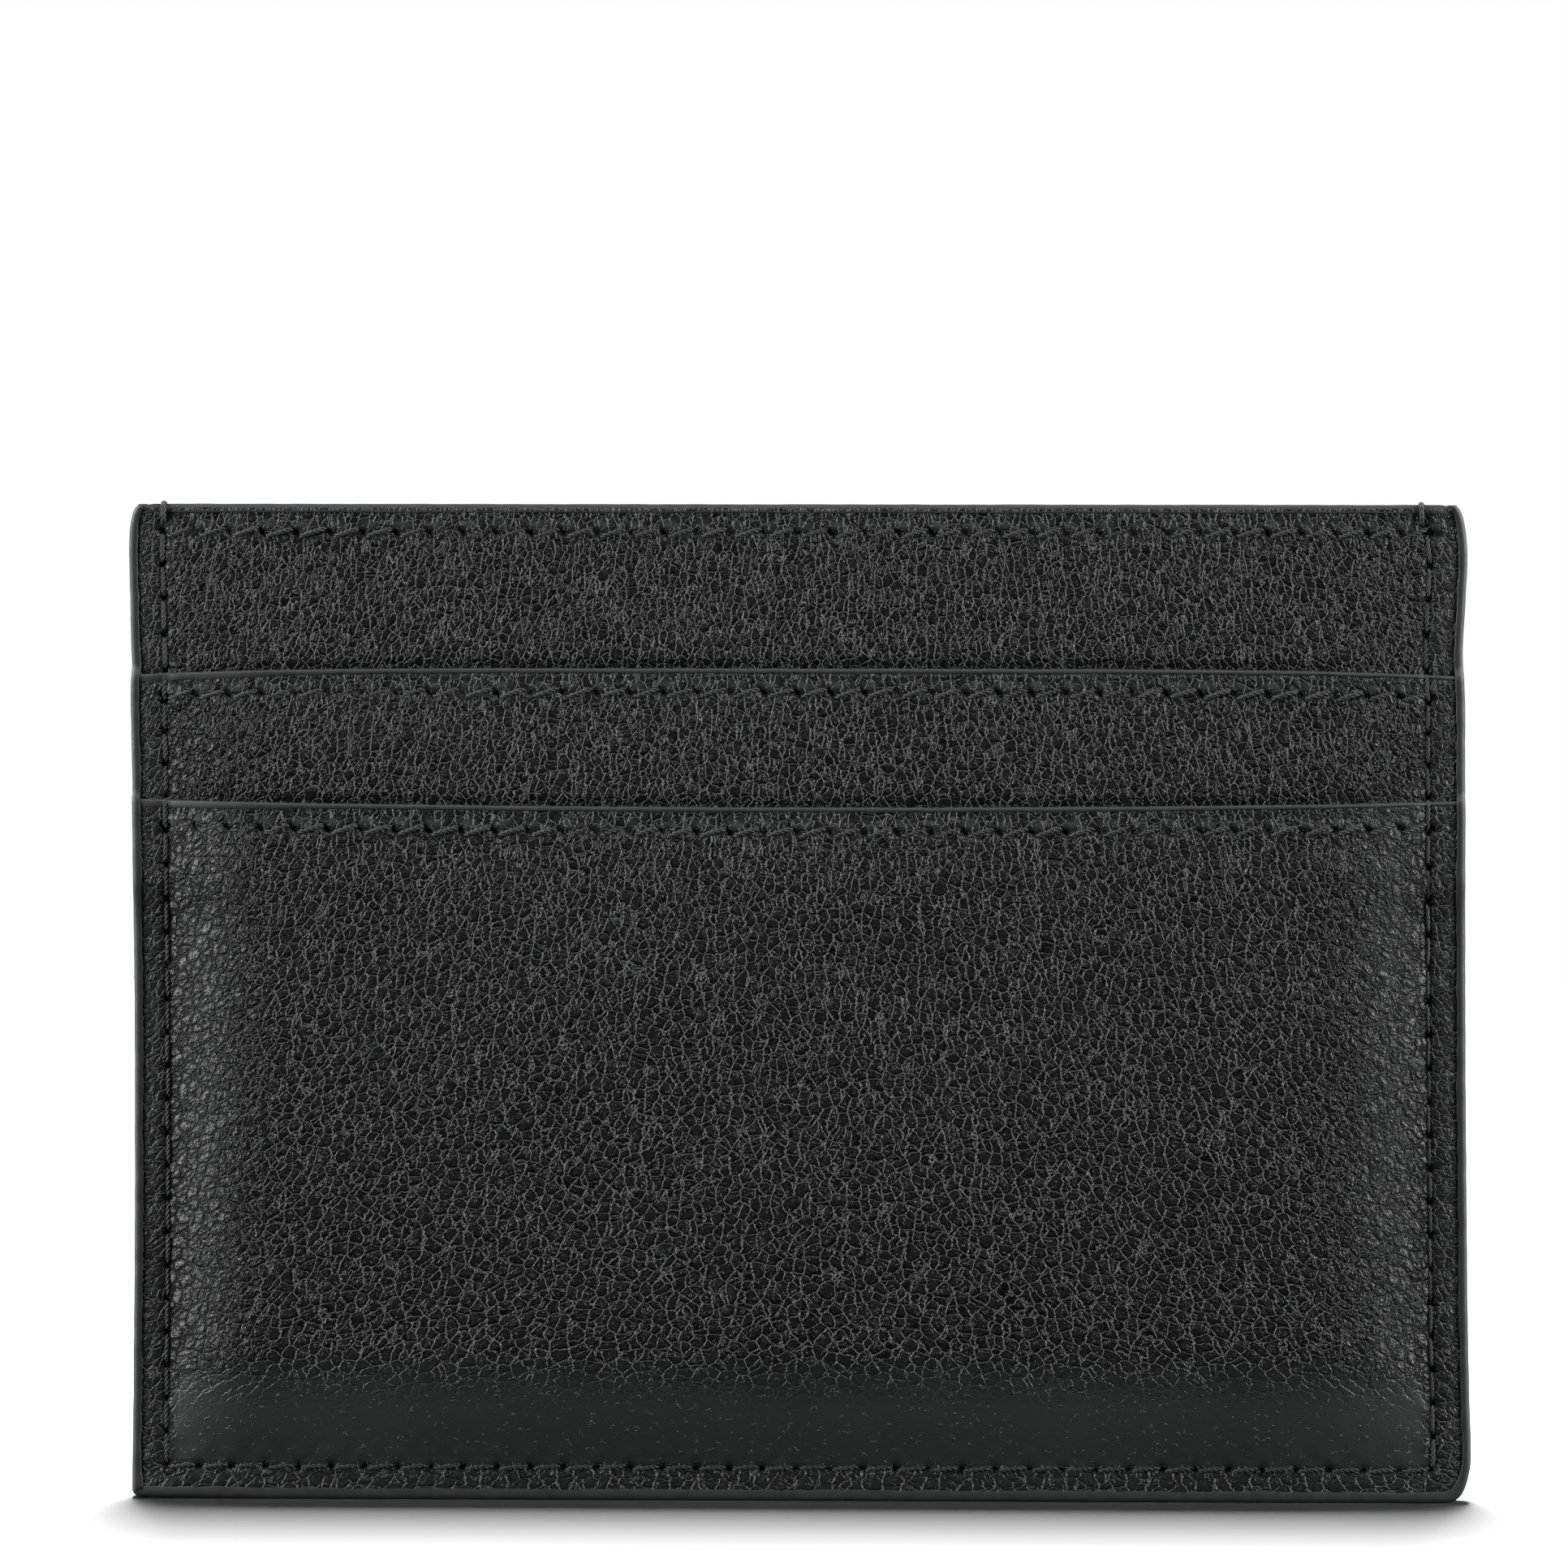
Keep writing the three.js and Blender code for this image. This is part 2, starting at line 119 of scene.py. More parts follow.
# Thread
PLIES = 3
PLY_SIDES = 7
PLY_RADIUS = 0.115
PLY_OFFSET = 0.105
PLY_FLATTENED = 0.85
TWIST = 1.15
STITCH_POINTS = 13
LIFT_POWER = 0.55
RISE_JITTER = 0.02
ROW_RISE = -0.07
BOTTOM_RISE = -0.14
SIDE_RISES = (-0.2, -0.1)
SIDE_STITCH_GAP = 0.3
BOTTOM_STITCH_GAP = 0.4
BOTTOM_STITCH_SLANT = 0.12
WRAP_LENGTH = 1.5
WRAP_POINTS = 5
WRAP_ARC_POINTS = 9
WRAP_ARC_START = 0.15
WRAP_ARC_HEIGHT = 0.19
WRAP_ARC_CENTRE = 0.12
WRAP_RISE = 0.14
WRAP_HOLE_DEPTH = 0.36

# Edge paint. A profile's points are across the coat, and out from the sheet's face.
PAINT_ROOM = 0.25
PAINT_LIP = 0.66
PAINT_LIP_AT_FOOT = 0.2
PAINT_FOOT_HEIGHT = 3
PAINT_SEED = 71
LEVEL_READ_IN = 1.2
LEVEL_READ_UP = 0.8
PANEL_LIP = 0.62
POCKET_LIP = 0.36
POCKET_LIP_LEFT = 0.24
POCKET_LIP_RIGHT = -0.06
PAINT_PROUD = 0.035
PAINT_BEVEL = {"panel": 0.17, "upper_pocket": 0.0, "lower_pocket": 0.0}
PAINT_STEP = 0.3
MOUTH_PAINT_STEP = 0.4
MOUTH_CORNER_DROP = 0.2
MOUTH_CORNER_WIDTH = 1.3
OUTLINE_SHOULDER = ((0.42, 0.045), (0.24, 0.02), (0.11, -0.07), (0.03, -0.22), (0.0, -0.42))
MOUTH_SHOULDER = ((-0.2, 0.035), (-0.09, -0.01), (-0.02, -0.1))
MOUTH_BACK = ((-0.02, 0.1), (-0.1, 0.01), (-0.25, -0.02), (-0.4, -0.01), (-0.4, 0.03))

# Outline
CORNER_LEFT = 0.6
CORNER_LEFT_POINTS = 9
CORNER_RIGHT = 1.9
CORNER_RIGHT_POINTS = 11
CORNER_TOP_WIDTH = 0.75
CORNER_TOP_HEIGHT = 2.4
OUTLINE_ROOM = 45.0

# Hand-made unevenness. A bump is how far out it goes, its height on the side and its half width.
LEFT_WAIST = 0.30
LEFT_WAIST_TOP = 62
LEFT_WAIST_POWER = 0.8
LEFT_BUMPS = ((-0.10, 63, 1.4), (0.10, 70.5, 2.5))
RIGHT_WAIST = 0.16
RIGHT_WAIST_TOP = 66
RIGHT_SLANT = 0.009
RIGHT_SLANT_MIDDLE = 37
RIGHT_BUMPS = ((-0.16, 64, 2.2), (0.16, 0, 7), (-0.35, 1.2, 1.3), (0.20, 70.5, 2.5))
WARP_START = 38
WARP_WIDTH = 10
BOTTOM_SAG = 0.12
MOUTH_SAG = 0.42
LOWER_MOUTH_DROP = 0.2

# Mesh spacing
STEP_X = 0.25
STEP_Z = 0.3125
STEP_ROW = 0.15
STEP_HIDDEN = 1.5
STEP_LINING = 1.0
ROW_HALF_HEIGHT = 1.1
COARSE_EVERY = 4

# Leather grain. A tone is how much lighter than the cells a place is painted: a painted highlight on
# the veins, a painted shade on the rims beside them, and painted light on the smooth places.
VEIN_SCALE = 1.2
VEIN_HALF_WIDTH = 0.07
VEIN_DEPTH = 0.098
CELL_DOME = 0.035
RIM_WIDTH = 0.2
NET_SCALE = 3.1
NET_HALF_WIDTH = 0.055
NET_DEPTH = 0.022
PORE_SCALE = 4.6
PORE_RADIUS = 0.7
PORE_HEIGHT = 0.035
SPECK_SCALE = 2.2
SPECK_HEIGHT = 0.05
GRAIN_GLOSS = (0.2, 0.58)
GRAIN_ROUGHNESS = (0.29, 0.39)
GRAIN_FAN = 0.009
GRAIN_FAN_HEIGHT = 26
GRAIN_STRETCH = 0.95
VEIN_PAINTED_HIGHLIGHT = 10.0
RIM_PAINTED_SHADE = 0.4
SMOOTH_PAINTED_LIGHT = 9.0
# These smoothnesses also set how much painted light the margin, the side bands and the bottom get.
MARGIN_SMOOTHNESS = 0.22
SIDE_SMOOTHNESS = 0.28
BOTTOM_SMOOTHNESS = 0.93
SMOOTH_BOTTOM_TOP = 6.5
SMOOTH_BOTTOM_FADE = 5.5

# Colours
LEATHER_COLOUR = (0.0052, 0.0055, 0.0054, 1)
PAINT_COLOURS = ((0.028, 0.030, 0.030, 1), (0.037, 0.039, 0.039, 1))
THREAD_COLOURS = ((0.018, 0.019, 0.019, 1), (0.060, 0.063, 0.062, 1))
TEXTILE_COLOURS = ((0.006, 0.006, 0.007, 1), (0.020, 0.020, 0.022, 1))
BOARD_COLOURS = ((0.10, 0.08, 0.06, 1), (0.20, 0.17, 0.13, 1))
WEAVE_PERIOD = 0.36

# Camera
CAMERA_DISTANCE = 700.0
CAMERA_ELEVATION = 2.5
CAMERA_AZIMUTH = 1.6
CAMERA_ROLL = 0.04
SENSOR_WIDTH = 36
FRAME_WIDTH = 117.25
FRAME_CENTRE = (-1.06, 53.6)

# Stage, in metres: each light's name, place, size and brightness
STUDIO = 0.02
LIGHT_AIM = (0, 0, 0.037)
FLOOR_LIGHT = ("floor_light", (0, 0.28, 1.0), (0.28, 0.5), 46.0)
SOFTBOXES = (
    ("left", (-0.59, -0.17, 0.23), (0.30, 0.6), 10.0),
    ("right", (0.59, -0.17, 0.23), (0.30, 0.6), 10.0),
    ("above", (0, -0.14, 0.75), (0.9, 0.25), 3.4),
    ("table", (0, -0.30, -0.30), (1.2, 0.5), 0.05),
    ("back_left", (-0.62, 0.30, 0.42), (0.34, 0.9), 6.0),
    ("back_right", (0.62, 0.30, 0.42), (0.34, 0.9), 6.0),
    ("behind", (0, 1.3, 0.9), (0.8, 0.8), 1.0),
)
FLOOR_HALF = 0.6
FLOOR_FRONT = -0.16
FLOOR_LEVEL = -0.0001
FLOOR_COLOUR = (0.9, 0.9, 0.9, 1)


# --- Numbers from the frame ---------------------------------------------------------------------

def box_mm(node):
    low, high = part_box(node)
    return np.array(low) / MM, np.array(high) / MM


def seam_and_flat(node):
    """The innermost level in the margin and the outermost level over the flat middle."""
    low, high = box_mm(node)
    return -high[1], -low[1]


HALF_WIDTH = box_mm("perimeter_edge_paint")[1][0]
TOP = box_mm("front_panel_edge_paint")[1][2]
MOUTH = {
    "panel": TOP,
    "upper_pocket": box_mm("front_upper_pocket_edge_paint")[1][2],
    "lower_pocket": box_mm("front_lower_pocket_edge_paint")[1][2],
}
STRIP_BOTTOM = box_mm("front_upper_pocket")[0][2]
TAIL_BOTTOM = box_mm("front_upper_pocket_lining")[0][2]
SHEET_HALF = HALF_WIDTH - PAINT_ROOM
BOTTOM_PITCH = (STITCH_LEFT + STITCH_RIGHT) / BOTTOM_STITCHES
SHEET_BOTTOM = {"panel": PAINT_ROOM, "upper_pocket": STRIP_BOTTOM, "lower_pocket": PAINT_ROOM}
LINING_BOTTOM = {"panel": PAINT_ROOM, "upper_pocket": TAIL_BOTTOM, "lower_pocket": PAINT_ROOM}
SEEN_FROM = {"panel": 60.5, "upper_pocket": 50.5, "lower_pocket": PAINT_ROOM}

SEED = {}
for number, key in enumerate((side_name, part) for side_name in SIDES for part in ROW_DEPTH):
    SEED[key] = 20 * number + 3


# --- Levels -------------------------------------------------------------------------------------

def smooth(value):
    value = np.clip(value, 0, 1)
    return value * value * (3 - 2 * value)


def dome(value):
    return 1 - (1 - np.clip(value, 0, 1)) ** DOME_POWER


def mix(a, b, share):
    return a + (b - a) * share


def bell(value, width):
    return np.exp(-((value / width) ** 2))


def side_share(x):
    return dome((SEAM_X - np.abs(x)) / np.where(x < 0, RISE_LEFT, RISE_RIGHT))


def tray_share(x, z):
    return side_share(x) * (1 - (1 - np.clip((z - SEAM_Z) / RISE_BOTTOM, 0, 1)) ** FLOOR_POWER)


def leather_at(x, z):
    return mix(SKIVED, LEATHER, tray_share(x, z))


def lean(x, z, mouth, amount):
    """How far an open edge lies back against what is behind it."""
    return amount * smooth((z - mouth + MOUTH_LEAN_HEIGHT) / MOUTH_LEAN_HEIGHT) * side_share(x)


def waves(x, z, seed):
    """Slow unevenness of hand-laid leather: a few sine waves in seeded directions."""
    rng = np.random.default_rng(seed)
    total = 0
    for _ in range(WAVE_COUNT):
        turn = rng.uniform(0, math.pi)
        length = rng.uniform(*WAVE_LENGTHS)
        phase = rng.uniform(0, 2 * math.pi)
        along = x * math.cos(turn) + z * math.sin(turn)
        total = total + np.sin(2 * math.pi * along / length + phase)
    return WAVE_SIZE * total / WAVE_COUNT * tray_share(x, z)


def panel_inner(x, z):
    seam, flat = seam_and_flat("front_panel")
    return mix(seam, flat - LEATHER, tray_share(x, z)) - lean(x, z, TOP, PANEL_LEAN)


def panel_outer(x, z):
    return panel_inner(x, z) + leather_at(x, z)


def panel_lining_inner(x, z):
    seam, flat = seam_and_flat("front_panel_lining")
    return mix(seam, flat - TEXTILE, tray_share(x, z)) - lean(x, z, TOP, PANEL_LEAN)


def tail_inner(x, z):
    floor = smooth((z - TAIL_BOTTOM - SLOT_FLOOR) / SLOT_FLOOR_RISE)
    gap = CARD_GAP * side_share(x) * floor - lean(x, z, MOUTH["upper_pocket"], MOUTH_LEAN)
    return panel_outer(x, z) + GLUE + gap


def upper_inner(x, z):
    return tail_inner(x, z) + TEXTILE + GLUE


def upper_outer(x, z):
    return upper_inner(x, z) + leather_at(x, z)


def lower_lining_inner(x, z):
    low_seam = seam_and_flat("front_lower_pocket_lining")[0]
    high_seam = seam_and_flat("front_lower_pocket_edge_paint")[0]
    flat = seam_and_flat("front_lower_pocket")[1] - LEATHER - GLUE - TEXTILE
    over_strip = smooth((z - STRIP_BOTTOM + STRIP_STEP_BELOW) / STRIP_STEP_HEIGHT)
    seam = mix(low_seam, high_seam, over_strip)
    share = tray_share(x, z)
    arch = np.sin(math.pi * np.clip(z / CROWN_HEIGHT, 0, 1))
    crown = CROWN * (1 - (x / SEAM_X) ** 2) * arch
    slack = lean(x, z, MOUTH["lower_pocket"], MOUTH_LEAN) + LOWER_SLACK * share
    return mix(seam, flat, share) + crown * share - slack


def lower_inner(x, z):
    return lower_lining_inner(x, z) + TEXTILE + GLUE


def lower_outer(x, z):
    return lower_inner(x, z) + leather_at(x, z)


OUTER_LEVEL = {"panel": panel_outer, "upper_pocket": upper_outer, "lower_pocket": lower_outer}
INNER_LEVEL = {"panel": panel_inner, "upper_pocket": upper_inner, "lower_pocket": lower_inner}
LINING_LEVEL = {
    "panel": panel_lining_inner,
    "upper_pocket": tail_inner,
    "lower_pocket": lower_lining_inner,
}


def outermost(levels, x, z):
    """The level of the leather that lies outermost at each height."""
    over_lower = smooth((z - MOUTH["lower_pocket"]) / MOUTH_STEP)
    over_upper = smooth((z - MOUTH["upper_pocket"]) / MOUTH_STEP)
    level = mix(levels["lower_pocket"](x, z), levels["upper_pocket"](x, z), over_lower)
    return mix(level, levels["panel"](x, z), over_upper)


def bare_level(x, z):
    """The outermost leather, without its relief."""
    return outermost(OUTER_LEVEL, x, z)


# --- Relief of the leather's outer face ---------------------------------------------------------

def nearest_hole(along, rng_seed):
    """Distance to the nearest stitch hole, and a seeded strength for that hole."""
    index = np.round(along / PITCH).astype(int)
    strengths = np.random.default_rng(rng_seed).uniform(*HOLE_STRENGTHS, 200)
    return along - index * PITCH, strengths[index % len(strengths)]


def row_share(x):
    """1 along a mouth row, fading to 0 past its ends."""
    return smooth((ROW_END + ROW_FADE - np.abs(x)) / 0.8)


def seam_relief(inward, along, seed):
    """A groove under the thread, a pit at each hole, and puckers on both sides."""
    hole, strength = nearest_hole(along, seed)
    between = smooth(np.abs(hole) / (PITCH / 2))
    groove = -GROOVE_DEPTH * bell(inward, 0.27)
    pit = -HOLE_DEPTH * strength * bell(inward - 0.04, 0.27) * bell(hole, 0.3)
    pucker = PUCKER_HEIGHT * strength * bell(inward - 0.95, 0.6) * (1 - 1.4 * between)
    puff = PUFF_HEIGHT * bell(inward + 1.15, 0.7) * (0.7 + 0.5 * strength * between)
    return groove + pit + pucker + puff


def row_relief(x, z, row, seed):
    """Slanted slits of a mouth row, a groove under each stitch and a puff above each slit."""
    hole, strength = nearest_hole(x, seed)
    up = z - row
    length = math.hypot(SLIT_HALF_LENGTH, SLIT_HALF_HEIGHT)
    along = (hole * SLIT_HALF_LENGTH - up * SLIT_HALF_HEIGHT) / length
    across = (hole * SLIT_HALF_HEIGHT + up * SLIT_HALF_LENGTH) / length
    slit = -SLIT_DEPTH * strength * bell(along, 0.48) * bell(across, 0.17)
    middle = hole - np.sign(hole) * PITCH / 2
    climb = SLIT_HALF_HEIGHT / (PITCH / 2 - SLIT_HALF_LENGTH)
    groove = -ROW_GROOVE_DEPTH * bell(up - middle * climb, 0.3) * smooth(1.6 - np.abs(middle))
    puff = ROW_PUFF_HEIGHT * strength * bell(hole - 0.25, 0.55) * bell(up - 0.5, 0.32)
    sag = ROW_SAG_HEIGHT * bell(middle, 0.8) * bell(up + 0.7, 0.5)
    return (slit + groove + puff + sag) * row_share(x)


def stitch_x(x, z):
    """How far the side seam on the side of x lies from the middle. The right one leans in on top."""
    lean_in = TOP_LEAN_IN * smooth((z - TOP + TOP_LEAN_HEIGHT) / TOP_LEAN_HEIGHT)
    return np.where(x < 0, STITCH_LEFT, STITCH_RIGHT - lean_in)


def edges_relief(x, z, seed):
    """The side seams and, where the sheet reaches it, the bottom seam."""
    inward = stitch_x(x, z) - np.abs(x)
    side = np.where(
        x < 0,
        seam_relief(inward, z - STITCH_Z, seed),
        seam_relief(inward, z - STITCH_Z, seed + 1),
    )
    bottom = seam_relief(z - STITCH_Z, (x + STITCH_LEFT) * PITCH / BOTTOM_PITCH, seed + 2)
    corner = smooth((z - STITCH_Z + 0.3) / 0.8)
    inside = smooth((inward + 0.3) / 0.8)
    return side * corner + bottom * inside


def outer_face(part, seed):
    """The outer level of a leather sheet with its seams pressed in."""
    row = MOUTH[part] - ROW_DEPTH[part]
    next_mouth = MOUTH["upper_pocket"] if part == "panel" else MOUTH["lower_pocket"]
    dent_depth = 0 if part == "lower_pocket" else MOUTH_DENT

    def face(x, z):
        relief = edges_relief(x, z, seed) + row_relief(x, z, row, seed + 5)
        dent = dent_depth * bell(z - next_mouth, MOUTH_DENT_WIDTH) * tray_share(x, z)
        fall = MARGIN_FALL * smooth((np.abs(x) - STITCH_LEFT) / MARGIN_FALL_WIDTH)
        return OUTER_LEVEL[part](x, z) + relief + waves(x, z, seed + 9) - dent - fall

    return face


def top_face(side_name):
    """The outermost leather with its relief, for the paint that lies on all the sheets."""
    faces = {part: outer_face(part, SEED[side_name, part]) for part in ROW_DEPTH}
    return lambda x, z: outermost(faces, x, z)


def grain_strength(x, z, part):
    """How much grain shows: less on the sewn margin, and where the leather is stretched. Where it is
    under 1 the leather is also painted lighter: painted light on the smooth bottom, the side bands,
    the margin and the pouches under the mouth rows.
    """
    hole, strength = nearest_hole(x, SEED["front", part] + 5)
    up = z - MOUTH[part] + ROW_DEPTH[part]
    pouch = 0.75 * strength * bell(hole - 0.4, 0.7) * bell(up - 0.6, 0.4)
    pouch = np.clip(pouch, 0, 0.9) * row_share(x)
    outside = np.abs(x) - stitch_x(x, z)
    margin = MARGIN_SMOOTHNESS * smooth(np.maximum(outside, STITCH_Z - z) / 0.6)
    pressed = np.maximum(pouch, margin)
    if part != "lower_pocket":
        return 1 - pressed
    inside = smooth(-outside) * smooth((z - STITCH_Z) / 0.5)
    bottom = BOTTOM_SMOOTHNESS * (1 - smooth((z - SMOOTH_BOTTOM_TOP) / SMOOTH_BOTTOM_FADE))
    sides = SIDE_SMOOTHNESS * bell(np.abs(x) - SEAM_X + 2.5, 2.6)
    return 1 - np.maximum(np.maximum(bottom, sides) * inside, pressed)


# --- Outline ------------------------------------------------------------------------------------

def corner_draw_in(x, z):
    """How far the outline draws in from the full width at a height."""
    radius = np.where(x < 0, CORNER_LEFT, CORNER_RIGHT)
    drop = radius * (1 - np.clip(z / radius, 0, 1))
    bottom = radius - np.sqrt(radius**2 - drop**2)
    rise = np.clip((z - TOP + CORNER_TOP_HEIGHT) / CORNER_TOP_HEIGHT, 0, 1)
    top = CORNER_TOP_WIDTH * (1 - np.sqrt(1 - rise**2))
    return bottom + top


def waist(z, top, power=1.0):
    return np.sin(math.pi * np.clip(z / top, 0, 1)) ** power


def bumps(z, rows):
    return sum(out * bell(z - height, width) for out, height, width in rows)


def warp(x, z):
    """Hand-made unevenness of the outline and of the mouths, in mm."""
    left = bumps(z, LEFT_BUMPS) - LEFT_WAIST * waist(z, LEFT_WAIST_TOP, LEFT_WAIST_POWER)
    right = bumps(z, RIGHT_BUMPS) - RIGHT_WAIST * waist(z, RIGHT_WAIST_TOP)
    right = right - RIGHT_SLANT * (z - RIGHT_SLANT_MIDDLE)
    shift = right * smooth((x - WARP_START) / WARP_WIDTH)
    shift = shift - left * smooth((-x - WARP_START) / WARP_WIDTH)
    bottom = -BOTTOM_SAG * smooth((x + 50) / 12) * smooth((8 - z) / 8)
    lower_lift = MOUTH_SAG * (x / SEAM_X) ** 2 - LOWER_MOUTH_DROP
    upper_drop = MOUTH_SAG * np.clip(np.abs(x) / SEAM_X, 0, 1.1) ** 5
    lower = lower_lift * bell(z - MOUTH["lower_pocket"], 4)
    upper = -upper_drop * bell(z - MOUTH["upper_pocket"], 3)
    return x + shift, z + bottom + lower + upper


def place(x, z, level, side):
    """Points in metres from nominal places and levels."""
    x, z = np.asarray(x, float), np.asarray(z, float)
    half = SHEET_HALF - corner_draw_in(x, z - PAINT_ROOM)
    beyond = np.clip(np.abs(x) - OUTLINE_ROOM, 0, None)
    fitted = np.minimum(np.abs(x), OUTLINE_ROOM)
    fitted = fitted + beyond * (half - OUTLINE_ROOM) / (SHEET_HALF - OUTLINE_ROOM)
    warped_x, warped_z = warp(np.sign(x) * fitted, z)
    return np.stack([warped_x, side * level, warped_z], axis=-1) * MM


# --- Meshes -------------------------------------------------------------------------------------

def make_piece(name, points, faces, material, replaced):
    mesh = bpy.data.meshes.new(name)
    mesh.from_pydata(points.reshape(-1, 3).tolist(), [], faces)
    mesh.polygons.foreach_set("use_smooth", [True] * len(mesh.polygons))
    mesh.materials.append(material)
    mesh.update()
    piece = bpy.data.objects.new(name, mesh)
    bpy.context.scene.collection.objects.link(piece)
    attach(piece, "root")
    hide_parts(*replaced)
    return piece


def lines_between(start, end, step):
    count = max(1, round(abs(end - start) / step))
    return np.linspace(start, end, count + 1)


def joined_lines(*stretches):
    lines = np.concatenate(stretches)
    return np.unique(np.round(lines, 5))


def coarse_face(columns, rows, offset):
    """Faces over every few grid lines, with the fine grid's points kept along the border."""
    kept_columns = [*range(0, columns - 1, COARSE_EVERY), columns - 1]
    kept_rows = [*range(0, rows - 1, COARSE_EVERY), rows - 1]
    faces = []
    for low, high in zip(kept_rows, kept_rows[1:]):
        for left, right in zip(kept_columns, kept_columns[1:]):
            bottom = range(left, right) if low == 0 else [left]
            up = range(low, high) if right == columns - 1 else [low]
            top = range(right, left, -1) if high == rows - 1 else [right]
            down = range(high, low, -1) if left == 0 else [high]
            loop = [low * columns + i for i in bottom]
            loop += [j * columns + right for j in up]
            loop += [high * columns + i for i in top]
            loop += [j * columns + left for j in down]
            faces.append([offset + index for index in loop])
    return faces


def shell(name, side, xs, zs, inner, outer, material, replaced, fine=True):
    """A closed sheet between two levels: the outer face fine, the inner face coarser."""
    x, z = np.meshgrid(xs, zs)
    points = np.concatenate([
        place(x, z, outer(x, z), side).reshape(-1, 3),
        place(x, z, inner(x, z), side).reshape(-1, 3),
    ])
    rows, columns = x.shape
    count = rows * columns
    grid = np.arange(count).reshape(rows, columns)
    quads = np.stack([grid[:-1, :-1], grid[:-1, 1:], grid[1:, 1:], grid[1:, :-1]], axis=-1)
    faces = quads.reshape(-1, 4).tolist()
    if fine:
        inner_faces = coarse_face(columns, rows, count)
    else:
        inner_faces = (quads.reshape(-1, 4) + count).tolist()
    faces += [face[::-1] for face in inner_faces]
    border = np.concatenate([grid[0, :-1], grid[:-1, -1], grid[-1, :0:-1], grid[:0:-1, 0]])
    following = np.roll(border, -1)
    walls = np.stack([following, border, border + count, following + count], axis=-1)
    faces += walls.tolist()
    if side > 0:
        faces = [face[::-1] for face in faces]
    used = np.unique(np.concatenate([np.asarray(face) for face in faces]))
    renumber = np.zeros(2 * count, int)
    renumber[used] = np.arange(len(used))
    faces = [renumber[face].tolist() for face in faces]
    piece = make_piece(name, points[used], faces, material, replaced)
    x_used = np.tile(x.reshape(-1), 2)[used]
    z_used = np.tile(z.reshape(-1), 2)[used]
    return piece, x_used, z_used


def tube_faces(rings, ring):
    """Faces of a closed tube whose points are rings of the same size, one after another."""
    first = np.arange(ring)
    second = (first + 1) % ring
    starts = np.arange(rings - 1)[:, None] * ring
    quads = np.stack([starts + first, starts + second, starts + ring + second,
                      starts + ring + first], axis=-1)
    ends = [first[::-1].tolist(), ((rings - 1) * ring + first).tolist()]
    return quads.reshape(-1, 4).tolist() + ends


# --- Edge paint ---------------------------------------------------------------------------------

def u_path():
    """Stations round the two sides and the bottom: place and direction inwards."""
    left, right, top = -HALF_WIDTH, HALF_WIDTH, TOP - 0.02
    left_centre, right_centre = left + CORNER_LEFT, right - CORNER_RIGHT
    stations = []
    for z in lines_between(top, CORNER_LEFT, PAINT_STEP):
        stations.append((left, z, 1.0, 0.0))
    for angle in np.linspace(math.pi, 1.5 * math.pi, CORNER_LEFT_POINTS)[1:-1]:
        across, up = math.cos(angle), math.sin(angle)
        stations.append((left_centre + CORNER_LEFT * across, CORNER_LEFT * (1 + up), -across, -up))
    for x in lines_between(left_centre, right_centre, PAINT_STEP):
        stations.append((x, 0.0, 0.0, 1.0))
    for angle in np.linspace(1.5 * math.pi, 2 * math.pi, CORNER_RIGHT_POINTS)[1:-1]:
        across, up = math.cos(angle), math.sin(angle)
        stations.append((right_centre + CORNER_RIGHT * across, CORNER_RIGHT * (1 + up), -across, -up))
    for z in lines_between(CORNER_RIGHT, top, PAINT_STEP):
        stations.append((right, z, -1.0, 0.0))
    return np.array(stations)


def uneven(along, seed, size):
    """A slow random wobble along a line."""
    rng = np.random.default_rng(seed)
    total = 0
    for length in (2.3, 4.1, 7.7, 15.0):
        total = total + np.sin(2 * math.pi * along / length + rng.uniform(0, 6.28))
    return size * total / 4


def perimeter_paint(material):
    """One coat round both sides and the bottom, with a lip on each face."""
    stations = u_path()
    x, z, inward_x, inward_z = stations.T
    along = np.concatenate([[0], np.cumsum(np.hypot(np.diff(x), np.diff(z)))])
    x = x - np.sign(x) * corner_draw_in(x, np.maximum(z, CORNER_RIGHT))
    foot = smooth((PAINT_FOOT_HEIGHT - z) / PAINT_FOOT_HEIGHT)
    lip = PAINT_LIP + uneven(along, PAINT_SEED, 0.07) + PAINT_LIP_AT_FOOT * foot
    margin_half = SHEET_HALF - 0.8
    margin_x = np.clip(x + inward_x * LEVEL_READ_IN, -margin_half, margin_half)
    margin_z = np.clip(z + inward_z * LEVEL_READ_UP, LEVEL_READ_UP, TOP - 0.3)
    level = {name: top_face(name)(margin_x, margin_z) for name in SIDES}
    halves = []
    for name, side in SIDES.items():
        out = level[name] + 0.01 + uneven(along, PAINT_SEED + 1 + side, 0.012)
        half = [(lip, out - 0.05), (lip, out), (lip - 0.05, out + PAINT_PROUD)]
        half += [(across + 0 * lip, out + rise) for across, rise in OUTLINE_SHOULDER]
        halves.append([(across, side * rise) for across, rise in half])
    inside = PAINT_ROOM + 0.02 + 0 * lip
    ring = halves[0] + halves[1][::-1]
    ring += [(inside, level["back"] - 0.08), (inside, 0.08 - level["front"])]
    bulge = uneven(along, PAINT_SEED + 4, 0.02)
    rings = []
    for across, out in ring:
        warped_x, warped_z = warp(x + inward_x * (across + bulge), z + inward_z * (across + bulge))
        rings.append(np.stack([warped_x, out, warped_z], axis=-1) * MM)
    faces = tube_faces(len(stations), len(ring))
    return make_piece("edge_paint_perimeter", np.stack(rings, axis=1), faces, material,
                      ["perimeter_edge_paint"])


def lip_width(part, x):
    """How wide the paint's lip is along a mouth: widest near the left seam on the pockets."""
    if part == "panel":
        return PANEL_LIP + 0 * x
    left = POCKET_LIP_LEFT * bell(x + 47, 9)
    right = POCKET_LIP_RIGHT * smooth((x - 20) / 25)
    return POCKET_LIP + left + right


